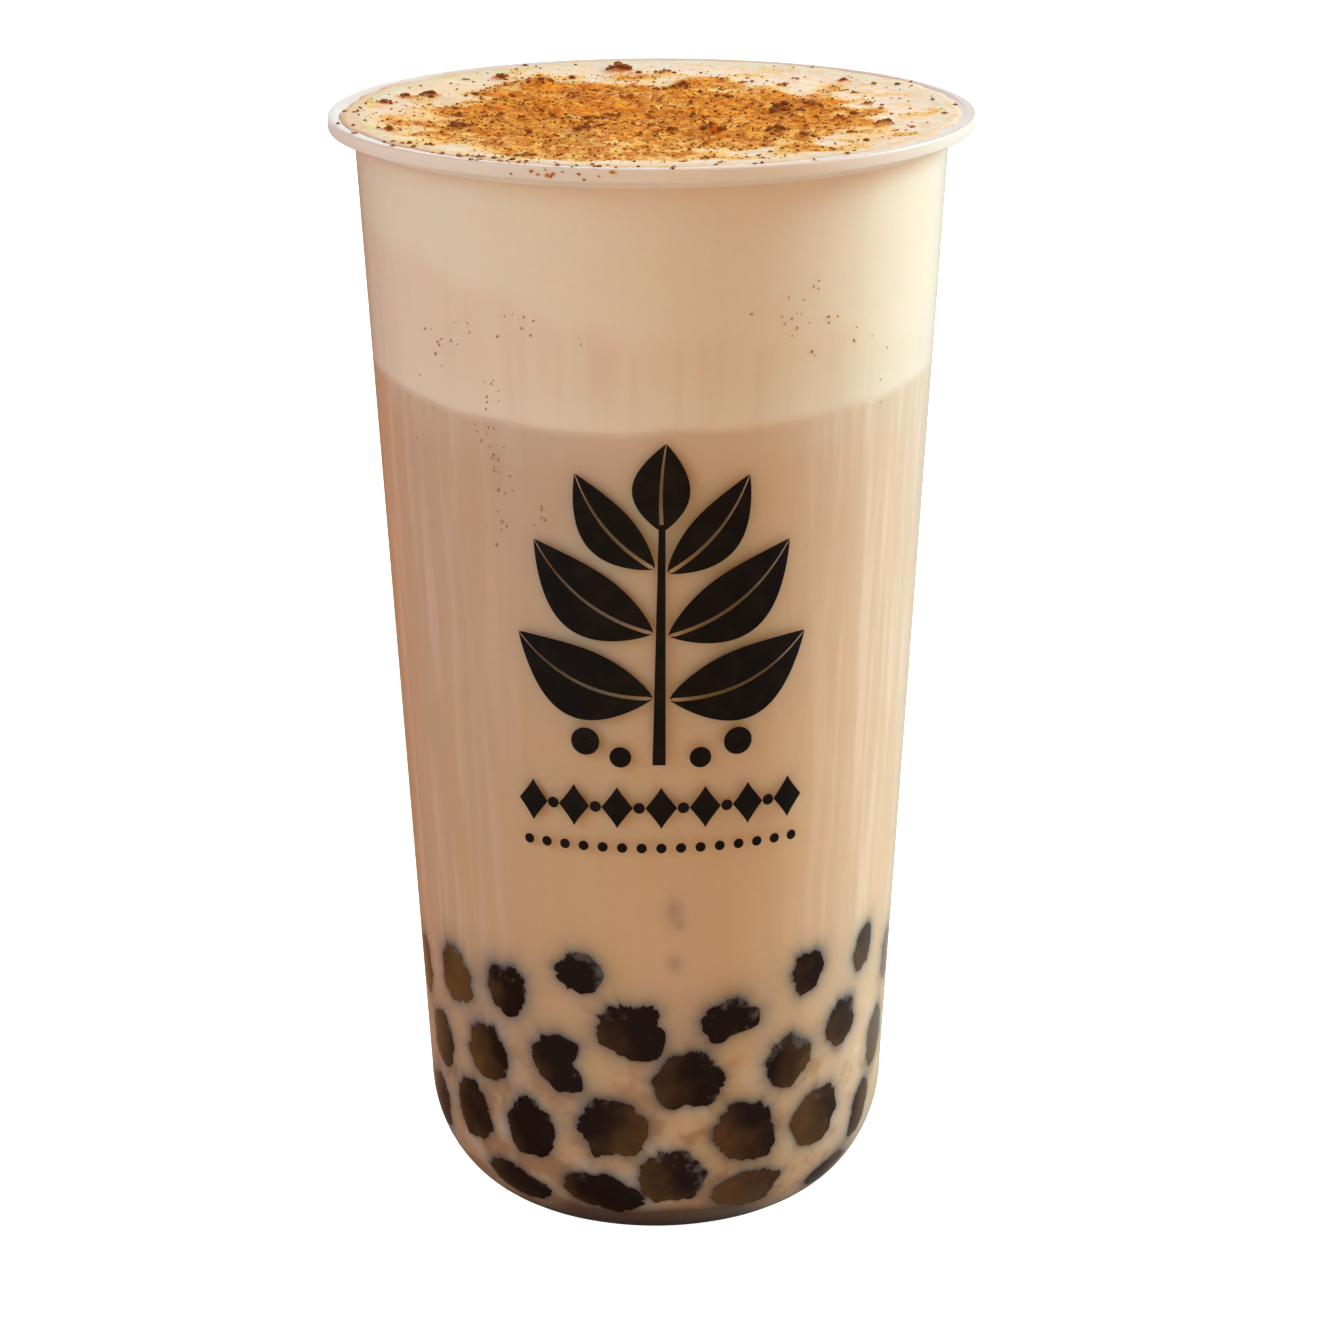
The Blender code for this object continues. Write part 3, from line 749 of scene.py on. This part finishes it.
def lumpiness(x, y):
    """How far the powder has clumped at a place: near 1 within a lump, fading raggedly round it."""
    ragged = 1 + 0.5 * noise_at(x, y, 520, 12.0) + 0.35 * noise_at(x, y, 1300, 4.0)
    clumped = np.zeros(np.broadcast(x, y).shape)
    relief = np.zeros(clumped.shape)
    for right, back, width in LUMPS:
        away = np.hypot(x - right * MM, y - back * MM) / (width / 2 * MM) * ragged
        clumped = np.maximum(clumped, np.exp(-(away / 1.15) ** 2))
        relief = np.maximum(relief, LUMP_RELIEF * width * MM * np.exp(-away ** 2))
    return clumped, relief


def foam_height(x, y, powder):
    """Height of the foam's top: broad swells, the mound, and crumbs where powder lies."""
    reach = np.hypot(x, y) / inner_radius(FOAM_TOP)
    fade = np.clip(1 - reach ** 6, 0, 1)
    swell = FOAM_SWELL * (noise_at(x, y, 95) + 0.55 * noise_at(x, y, 210, 0.84))
    away = np.hypot(x - MOUND[0], y - MOUND[1]) / MOUND_SPREAD
    swell = swell + MOUND_HEIGHT * np.exp(-away * away / 2)
    crumbs = 0.34 * noise_at(x, y, 480, 2.0) + 0.28 * noise_at(x, y, 1000, 5.0)
    brim = (LAP_TOP - FOAM_TOP) * np.clip((reach - 0.84) / 0.16, 0, 1) ** 2
    return FOAM_TOP + brim + fade * (swell + MM * crumbs * (0.12 + 0.88 * powder)) + lumpiness(x, y)[1]


turn = np.linspace(0, 2 * math.pi, FOAM_COLUMNS, endpoint=False)
edge_radius = inner_radius(FOAM_TOP) + 0.55 * MM
shares = np.linspace(0, 1, TOP_RINGS + 1)[1:] ** 0.8
top_x = edge_radius * shares[:, None] * np.sin(turn)
top_y = -edge_radius * shares[:, None] * np.cos(turn)
powder = powder_share(top_x, top_y)
top_z = foam_height(top_x, top_y, powder)
ragged = noise_at(np.sin(turn), np.cos(turn), 3.0, 1.0) + 0.8 * noise_at(np.sin(turn), np.cos(turn), 9.0, 6.0)
lap_radius = edge_radius + np.clip(LAP_REACH * (0.8 + 0.45 * ragged), 1.1 * MM, LAP_REACH)
foam_rings = list(np.stack([top_x, top_y, top_z], axis=-1))
foam_rise = [0 * turn + TOP_RISE for _ in foam_rings]
for radius, height in (
        (edge_radius + 0.3 * MM, LAP_TOP - 0.05 * MM), ((edge_radius + lap_radius) / 2, LAP_TOP),
        (lap_radius, LAP_TOP - 0.08 * MM), (lap_radius + 0.1 * MM, CUP_HEIGHT - 0.24 * MM),
        (edge_radius, CUP_HEIGHT - 0.42 * MM)):
    foam_rings.append(round_axis(radius, turn, height))
    foam_rise.append(0 * turn + LAP_RISE)
line = foam_line(turn)
for share in (*np.linspace(1, 0, SIDE_RINGS + 1)[:-1], CORNER, 0):
    height = line + (SIDE_TOP - line) * share
    foam_rings.append(round_axis(wetted_radius(height), turn, height))
    foam_rise.append((height - line) / MM)
for share in UNDER_SHARES:
    height = FOAM_LINE + (line - FOAM_LINE) * share
    foam_rings.append(round_axis(inner_radius(FOAM_LINE) * share, turn, height))
    foam_rise.append(0 * turn)
foam_rings = np.array(foam_rings)
below_top = ((0, len(foam_rings) - TOP_RINGS), (0, 0))
dusty = 0.25 + 0.75 * np.exp(-((foam_rings[..., 0] / MM + 30) / 16) ** 2)
to_left = np.clip(0.55 - foam_rings[..., 0] / (45 * MM), 0, 1)
dusty = np.maximum(dusty, 0.8 * to_left * np.exp(-((foam_rings[..., 1] / MM + 38) / 8) ** 2))

cream, tree, shader, colour = drink_material("cream foam", 0.7, 0.08)
patches = place_noise(tree, 620, detail=4)
drifts = place_noise(tree, 130, detail=3)
blotches = place_noise(tree, 600, detail=4)
uneven = total(tree, swing(tree, place_noise(tree, 2600, detail=2), 0.5), swing(tree, patches, 0.9))
dusting = total(tree, attribute(tree, "powder"), uneven)
clumping = total(tree, attribute(tree, "clumped"), swing(tree, blotches, 0.9))
top_cream = laid_over(tree, CREAM_PALE, patches, (0.35, 0.65), CREAM_WARM)
dustiness = product(tree, attribute(tree, "dusty"), remap(tree, drifts, 0.3, 0.6, 0.35, 1.0))
top_cream = blended(tree, dustiness, top_cream, CREAM_DUSTY)
fringe = laid_over(tree, top_cream, dusting, (-0.07, 0.38), DUST_FRINGE)
dust = laid_over(tree, DUST_GOLD, object_place(tree)["Y"], (-36 * MM, 2 * MM), DUST_LIGHT)
dust = laid_over(tree, dust, patches, (0.38, 0.60), DUST_DEEP)
dust = laid_over(tree, dust, drifts, (0.52, 0.68, 0, 0.5), DUST_FRINGE)
powdered = laid_over(tree, fringe, dusting, (0.30, 0.70), dust)
blotch_share = product(tree, remap(tree, blotches, 0.52, 0.68), remap(tree, dusting, 0.2, 0.8, 0, 0.8))
powdered = blended(tree, blotch_share, powdered, DUST_BROWN)
powdered = laid_over(tree, powdered, clumping, (0.15, 0.55, 0, 0.9), DUST_DEEP)
powdered = laid_over(tree, powdered, clumping, (0.50, 1.0, 0, 0.95), DUST_DARK)
is_top = remap(tree, attribute(tree, "rise"), *TOP_RISE_FROM)
tree.links.new(blended(tree, is_top, colour.outputs["Color"], powdered), shader.inputs["Base Color"])
bump = tree.nodes.new("ShaderNodeBump")
bump.inputs["Strength"].default_value = 0.5
bump.inputs["Distance"].default_value = 0.15 * MM
tree.links.new(product(tree, place_noise(tree, 1700, detail=3), is_top), bump.inputs["Height"])
tree.links.new(bump.outputs["Normal"], shader.inputs["Normal"])
foam = turned_piece("cream_foam_body", foam_rings, (0, 0, float(top_z[0].mean())), (0, 0, FOAM_LINE), cream)
store(foam, "rise", foam_rise, (TOP_RISE, 0))
store(foam, "powder", np.pad(powder, below_top), (float(powder[0].mean()), 0))
store(foam, "clumped", np.pad(lumpiness(top_x, top_y)[0], below_top))
store(foam, "dusty", dusty)
store(foam, "pearl_and_foot_shade", np.zeros(foam_rings.shape[:2]))
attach(foam, "root")
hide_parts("foam")

# The powder: dry brown spice sifted over the foam in fine grains. Some has clumped into dark
# crumbs, which top the lumps too. A few specks strayed onto the rim, and fine ones have sunk
# into the drink and show against the wall.
GRAIN_COUNT = 4500
GRAIN_SIZE = (0.10, 0.22)
DARK_GRAIN_COUNT = 1000
DARK_GRAIN_SIZE = (0.14, 0.32)
CLUMP_COUNT = 420
LUMP_CRUMBS = 9
BUMPY_FROM = 20           # forms with more corners than this get dents too
RIM_SPECKS = 60
ROUND_SPECKS = 12
BAND_SPECKS = 12
GRAIN_GOLD = (0.84, 0.35, 0.05)
GRAIN_ORANGE = (0.62, 0.20, 0.024)
GRAIN_BROWN = (0.24, 0.070, 0.014)
GRAIN_SOAKED = (0.44, 0.26, 0.15)


def ground_at(x, y):
    """Height of the foam or of the rim under each place."""
    reach = np.hypot(x, y)
    over_foam = foam_height(x, y, powder_share(x, y))
    return np.where(reach < edge_radius, over_foam, LAP_TOP)


def scattered(count, seed, spread):
    """Places on the foam's top, as dense as the powder lies there, with a few over the rest."""
    draw = np.random.default_rng(seed)
    found = []
    while len(found) < count:
        angle, reach = draw.uniform(0, 2 * math.pi, 4000), np.sqrt(draw.uniform(0, 1, 4000)) * edge_radius
        x, y = reach * np.sin(angle), -reach * np.cos(angle)
        keep = draw.uniform(0, 1, 4000) < powder_share(x, y) + spread
        found += list(zip(x[keep], y[keep]))
    return np.array(found[:count])


def grains(name, places, sizes, tones, material, form, seed, flat=0.55, rough=0.35):
    """One piece of many small lumps: a form turned, stretched and roughened for each place and its size."""
    draw = np.random.default_rng(seed)
    shape_points, shape_faces = form
    count, corners = len(places), len(shape_points)
    points = np.repeat(shape_points[None], count, axis=0)
    points = points * (1 + draw.uniform(-rough, rough, (count, corners, 1)))
    if corners > BUMPY_FROM:
        dents = [[noise.noise(Vector(point) * 1.7 + Vector((number, 0, 0))) for point in shape_points]
                 for number in range(count)]
        points = points * (1 + 0.9 * np.array(dents)[..., None])
    points = points * sizes[:, None, None] * draw.uniform(0.75, 1.3, (count, 1, 3))
    spin = draw.uniform(-0.6, 0.6, count)
    c, s = np.cos(spin)[:, None], np.sin(spin)[:, None]
    x = points[..., 0] * c - points[..., 1] * s + places[:, 0, None]
    y = points[..., 0] * s + points[..., 1] * c + places[:, 1, None]
    z = points[..., 2] * flat + places[:, 2, None]
    faces = (np.array(shape_faces)[None] + (np.arange(count) * corners)[:, None, None]).reshape(-1, 3)
    piece = mesh_piece(name, np.stack([x, y, z], axis=-1).reshape(-1, 3).tolist(), faces.tolist(), material)
    keep_values(piece, "tone", np.repeat(tones, corners))
    return piece


def ball_form(subdivisions):
    """Points and triangles of a ball of unit size."""
    form = bmesh.new()
    bmesh.ops.create_icosphere(form, subdivisions=subdivisions, radius=1)
    points = np.array([vertex.co[:] for vertex in form.verts])
    faces = [[vertex.index for vertex in face.verts] for face in form.faces]
    form.free()
    return points, faces


OCTAHEDRON = (np.array([(1, 0, 0), (-1, 0, 0), (0, 1, 0), (0, -1, 0), (0, 0, 1), (0, 0, -1)], float),
              [(0, 2, 4), (2, 1, 4), (1, 3, 4), (3, 0, 4), (2, 0, 5), (1, 2, 5), (3, 1, 5), (0, 3, 5)])

dry_powder, tree, shader = new_material("brown powder", 0.9, specular=0.1)
tone = total(tree, attribute(tree, "tone"), swing(tree, place_noise(tree, 900, detail=2), 0.3))
grain = laid_over(tree, GRAIN_GOLD, tone, (0.0, 0.45), GRAIN_ORANGE)
grain = laid_over(tree, grain, tone, (0.0, -0.5), GRAIN_SOAKED)
tree.links.new(laid_over(tree, grain, tone, (0.40, 0.85), GRAIN_BROWN), shader.inputs["Base Color"])


def on_foam(places, sizes, sink):
    """Places with the foam's height under them, raised by a share of each grain's size."""
    heights = ground_at(places[:, 0], places[:, 1]) + sizes * sink
    return np.column_stack([places, heights])


draw = np.random.default_rng(31)
pale_sizes = draw.uniform(*GRAIN_SIZE, GRAIN_COUNT) * MM
dark_sizes = draw.uniform(*DARK_GRAIN_SIZE, DARK_GRAIN_COUNT) * MM
pale_places = on_foam(scattered(GRAIN_COUNT, 17, 0.03), pale_sizes, 0.1)
dark_places = on_foam(scattered(DARK_GRAIN_COUNT, 19, 0.13), dark_sizes, 0.2)
tones = np.concatenate([np.clip(draw.normal(0.28, 0.16, GRAIN_COUNT), 0, 0.6),
                        draw.uniform(0.5, 0.95, DARK_GRAIN_COUNT)])
dust_grains = grains("powder_grains", np.concatenate([pale_places, dark_places]),
                     np.concatenate([pale_sizes, dark_sizes]), tones, dry_powder, OCTAHEDRON, 5)

clump_sizes = np.exp(draw.normal(math.log(0.27), 0.35, CLUMP_COUNT)) * MM
clump_places = on_foam(scattered(CLUMP_COUNT, 23, 0.05), clump_sizes, 0.1)
lump_table = np.repeat(np.array(LUMPS) * MM, LUMP_CRUMBS, axis=0)
crumb_sizes = lump_table[:, 2] * draw.uniform(0.09, 0.23, len(lump_table))
crumb_places = lump_table[:, :2] + draw.normal(0, 0.30, (len(lump_table), 2)) * lump_table[:, 2:]
crumb_places = on_foam(crumb_places, crumb_sizes, 0.05)
sizes = np.concatenate([clump_sizes, crumb_sizes])
tones = np.concatenate([draw.uniform(0.45, 1.0, CLUMP_COUNT), draw.uniform(0.7, 1.0, len(lump_table))])
clumps = grains("powder_clumps", np.concatenate([clump_places, crumb_places]), sizes, tones, dry_powder,
                ball_form(1), 6, flat=0.6, rough=0.16)

turns = np.radians(np.concatenate([draw.normal(-22, 26, RIM_SPECKS - ROUND_SPECKS),
                                   draw.uniform(-180, 180, ROUND_SPECKS)]))
reaches = draw.uniform(edge_radius + 0.3 * MM, RIM_RADIUS - 0.5 * MM, RIM_SPECKS)
flange = round_axis(reaches, turns, LAP_TOP)
turns = np.radians(draw.uniform(-26, -6, BAND_SPECKS))
band = round_axis(RIM_RADIUS, turns, CUP_HEIGHT - draw.uniform(0.35, 1.5, BAND_SPECKS) * MM)
sizes = draw.uniform(0.16, 0.36, RIM_SPECKS + BAND_SPECKS) * MM
tones = np.concatenate([draw.uniform(0.5, 0.95, RIM_SPECKS), draw.uniform(0.3, 0.6, BAND_SPECKS)])
strays = grains("powder_specks", np.concatenate([flange, band]), sizes, tones, dry_powder, ball_form(2), 8)

WALL_SPECKS = (         # degrees round, height, reach across and up in millimetres, how many gather there
    (-46.5, 133.5, 2.0, 1.8, 9), (-27, 138, 1.6, 1.0, 5), (-34, 128, 0.8, 2.2, 8),
    (-35, 123, 0.8, 2.0, 10), (-32.5, 118.5, 1.0, 1.8, 8), (-34.5, 111.5, 1.2, 3.0, 9),
    (-22.5, 113.5, 0.9, 2.0, 5), (-14.5, 137, 0.8, 0.6, 2), (-40, 138, 3.0, 2.0, 5),
    (29, 140.5, 3.2, 1.6, 9), (26, 138, 1.4, 1.0, 4), (36, 138.5, 1.6, 1.6, 4), (43, 135, 0.5, 1.3, 3),
    (33, 133.5, 0.5, 0.3, 2), (50, 128, 3, 3, 4), (-55, 126, 3, 3, 4))
turns, heights = [], []
for middle, height, across, up, count in WALL_SPECKS:
    turns += list(math.radians(middle) + draw.normal(0, across, count) * MM / MOUTH_RADIUS)
    heights += list((height + draw.normal(0, up, count)) * MM)
on_side = round_axis(wetted_radius(heights), np.array(turns), np.array(heights))
sizes = draw.uniform(0.10, 0.23, len(turns)) * MM
tones = draw.uniform(-1.0, -0.3, len(turns))
wall_dust = grains("wall_specks", on_side, sizes, tones, dry_powder, ball_form(1), 9, flat=1.0)
for piece in (dust_grains, clumps, strays, wall_dust):
    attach(piece, "root")

# The print: flat dark brown ink screen-printed on the front of the wall. A sprig with broad
# leaves stands over a row of diamonds and a row of dots.
INK_INSIDE = 0.01 * MM
INK_OUTSIDE = 0.05 * MM
PRINT_TURN = math.radians(1.4)
SLIT = 0.6
LEAVES = (              # base, tip, width and bow, in millimetres across and up the wall
    ((0.2, 110.5), (0.8, 122.8), 7.8, 0.4), ((-0.8, 105.2), (-11.6, 118.4), 7.2, 1.6),
    ((0.9, 104.6), (12.2, 118.0), 7.2, -1.6), ((-1.0, 96.0), (-17.6, 108.6), 9.4, 2.2),
    ((1.0, 95.6), (18.2, 108.2), 9.4, -2.2), ((-1.1, 86.6), (-20.2, 95.0), 10.2, 2.4),
    ((1.1, 86.4), (20.8, 94.6), 10.2, -2.4))
STEM = ((-0.3, 76.8), (0.2, 111.5), 1.8, 0.9)
BUDS = ((-10.5, 80.0, 2.0), (-5.6, 77.9, 1.5), (10.7, 79.8, 2.0), (5.4, 77.8, 1.5))
DIAMONDS = 7
DIAMOND = (4.4, 6.2)
ROW_PITCH = 6.1
ROW_HEIGHT = 70.4
LINK_RADIUS = 0.8
DOTS = 15
DOT_PITCH = 2.72
DOT_HEIGHT = 64.4
DOT_RADIUS = 0.72
INK_DARK = (0.0060, 0.0032, 0.0018)
INK_WORN = (0.0120, 0.0058, 0.0030)


def bowed(base, tip, bow, share):
    """Points on a line from base to tip that bows to one side, and the direction across it."""
    base, tip = np.array(base), np.array(tip)
    along = (tip - base) / np.linalg.norm(tip - base)
    across = np.array([-along[1], along[0]])
    middle = base + (tip - base) * share[:, None] + across * (bow * 4 * share * (1 - share))[:, None]
    return middle, across


def half_leaf(leaf, side):
    """Grid over one half of a leaf, from its midrib's slit to its edge."""
    base, tip, width, bow = leaf
    share = np.linspace(0.004, 0.996, 34)
    middle, across = bowed(base, tip, bow, share)
    edge = width / 2 * np.sin(math.pi * share ** 0.9) ** 0.9
    inner = np.minimum(SLIT / 2 * (1 - share) ** 0.4, edge * 0.6)
    out = inner + (edge - inner) * np.linspace(0, 1, 7)[:, None]
    return middle[None] + side * across * out[..., None]


def strip(base, tip, width_base, width_tip):
    """Grid over a tapering strip."""
    share = np.linspace(0, 1, 30)
    middle, across = bowed(base, tip, 0, share)
    half = (width_base + (width_tip - width_base) * share) / 2
    return middle[None] + across * (np.linspace(-1, 1, 3)[:, None] * half)[..., None]


def disc(across, up, radius):
    """Grid over a disc."""
    turn = np.linspace(0, 2 * math.pi, 33)
    reach = radius * np.linspace(0.02, 1, 4)[:, None]
    return np.stack([across + reach * np.cos(turn), up + reach * np.sin(turn)], axis=-1)


def diamond(across, up, width, height):
    """Grid over a diamond with slightly hollow sides."""
    side, level = np.meshgrid(np.linspace(-1, 1, 5), np.linspace(-0.985, 0.985, 15))
    half = width / 2 * (1 - np.abs(level)) ** 1.15
    return np.stack([across + side * half, up + level * height / 2], axis=-1)


def ink_sheet(points, faces, grid):
    """Add one closed sheet of ink that lies on the wall, from a grid of places across and up."""
    rows, columns, _ = grid.shape
    heights = grid[..., 1] * MM
    wall = np.vectorize(wall_radius)(heights)
    turn = PRINT_TURN + grid[..., 0] * MM / wall
    start = len(points)
    for lift in (INK_OUTSIDE, INK_INSIDE):
        points += round_axis(wall + lift, turn, heights).reshape(-1, 3).tolist()
    count = rows * columns
    for row in range(rows - 1):
        for column in range(columns - 1):
            first = start + row * columns + column
            quad = (first, first + 1, first + columns + 1, first + columns)
            faces.append(quad)
            faces.append(tuple(point + count for point in reversed(quad)))
    border = list(range(columns))
    border += [row * columns + columns - 1 for row in range(1, rows)]
    border += [(rows - 1) * columns + column for column in range(columns - 2, -1, -1)]
    border += [row * columns for row in range(rows - 2, 0, -1)]
    for here, after in zip(border, border[1:] + border[:1]):
        faces.append((start + after, start + here, start + here + count, start + after + count))


grids = [half_leaf(leaf, side) for leaf in LEAVES for side in (-1, 1)]
grids.append(strip(*STEM))
grids += [disc(*bud) for bud in BUDS]
row_places = [(index - (DIAMONDS - 1) / 2) * ROW_PITCH for index in range(DIAMONDS)]
grids += [diamond(across, ROW_HEIGHT, *DIAMOND) for across in row_places]
grids += [disc(across + ROW_PITCH / 2, ROW_HEIGHT, LINK_RADIUS) for across in row_places[:-1]]
grids += [disc((index - (DOTS - 1) / 2) * DOT_PITCH, DOT_HEIGHT, DOT_RADIUS) for index in range(DOTS)]
ink_points, ink_faces = [], []
for grid in grids:
    ink_sheet(ink_points, ink_faces, grid)

ink, tree, shader = new_material("print ink", 0.45, specular=0.25)
patches = place_noise(tree, 300, detail=4)
tree.links.new(laid_over(tree, INK_DARK, patches, (0.4, 0.7), INK_WORN), shader.inputs["Base Color"])
print_piece = mesh_piece("print_sprig", ink_points, ink_faces, ink)
repair = bmesh.new()
repair.from_mesh(print_piece.data)
bmesh.ops.recalc_face_normals(repair, faces=repair.faces)
repair.to_mesh(print_piece.data)
repair.free()
print_piece.data.shade_flat()
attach(print_piece, "root")

# The floor and the light: a plain pale floor that shows as white, though in the cup's glossy reflections
# it shows painted reflection colours, dark in front, orange to the left and pale to the right; a strong key
# from behind on the right, a soft fill from the left front, weak lamps in front, at the left edge, behind
# and overhead, and a faint warm light all round.
FLOOR_CORNERS = ((-4, -2, 0), (4, -2, 0), (4, 6, 0), (-4, 6, 0))
FLOOR_GLOW = 0.97
FLOOR_GLOW_COLOUR = (0.97, 0.985, 1.0, 1)
FLOOR_BOUNCE = (0.70, 0.66, 0.60)
# Painted reflections: colours the floor shows only in glossy reflections on the cup, dark in front, orange to
# the left and pale to the right.
MIRRORED_FRONT = (0.12, 0.10, 0.09)
MIRRORED_LEFT = (0.36, 0.15, 0.05)
MIRRORED_RIGHT = (0.58, 0.48, 0.38)
ALL_ROUND = (0.30, 0.13, 0.07)
BACKDROP = (1.0, 1.0, 1.0)


def area_light(name, turn, rise, distance, size, power, colour):
    """A soft square light, given by its direction round the cup from the front and its height angle."""
    light = bpy.data.objects.new(name, bpy.data.lights.new(name, "AREA"))
    bpy.context.scene.collection.objects.link(light)
    turn, rise = math.radians(turn), math.radians(rise)
    toward = Vector((math.sin(turn) * math.cos(rise), -math.cos(turn) * math.cos(rise), math.sin(rise)))
    light.location = Vector((0, 0, CUP_HEIGHT / 2)) + toward * distance
    light.rotation_euler = toward.to_track_quat("Z", "Y").to_euler()
    light.data.size = size
    light.data.energy = power
    light.data.color = colour
    return light


area_light("key", 107, 27, 1.5, 0.55, 39, (0.54, 0.77, 0.93))
area_light("fill", -60, 26, 0.9, 0.6, 5.1, (0.41, 0.67, 0.92))
area_light("front", 0, 10, 1.0, 0.6, 1.9, (1.0, 0.64, 0.12))
area_light("left edge", -115, 8, 0.9, 0.4, 0.6, (1.0, 0.36, 0.06))
area_light("back", -168, 8, 1.2, 0.8, 6.0, (0.50, 0.76, 0.95))
area_light("overhead", 20, 80, 0.9, 0.3, 1.4, (1.0, 0.82, 0.62))

world = bpy.data.worlds.new("surroundings")
bpy.context.scene.world = world
world.use_nodes = True
tree = world.node_tree
path = tree.nodes.new("ShaderNodeLightPath")
backdrop = tree.nodes["Background"]
tree.links.new(blended(tree, path.outputs["Is Camera Ray"], ALL_ROUND, BACKDROP), backdrop.inputs["Color"])

floor_paint, tree, shader = new_material("pale floor", 0.8, specular=0.05)
path = tree.nodes.new("ShaderNodeLightPath")
place = object_place(tree)
# Painted reflections: what glossy rays see of the floor is set by place, to lay these colours on the cup's
# wall.
behind = laid_over(tree, MIRRORED_LEFT, place["X"], (-0.08, 0.08), MIRRORED_RIGHT)
mirrored = laid_over(tree, MIRRORED_FRONT, place["Y"], (-0.04, 0.06), behind)
floor_colour = blended(tree, path.outputs["Is Glossy Ray"], FLOOR_BOUNCE, mirrored)
tree.links.new(floor_colour, shader.inputs["Base Color"])
shader.inputs["Emission Color"].default_value = FLOOR_GLOW_COLOUR
tree.links.new(product(tree, path.outputs["Is Camera Ray"], FLOOR_GLOW), shader.inputs["Emission Strength"])
floor = mesh_piece("floor", FLOOR_CORNERS, [(0, 1, 2, 3)], floor_paint)
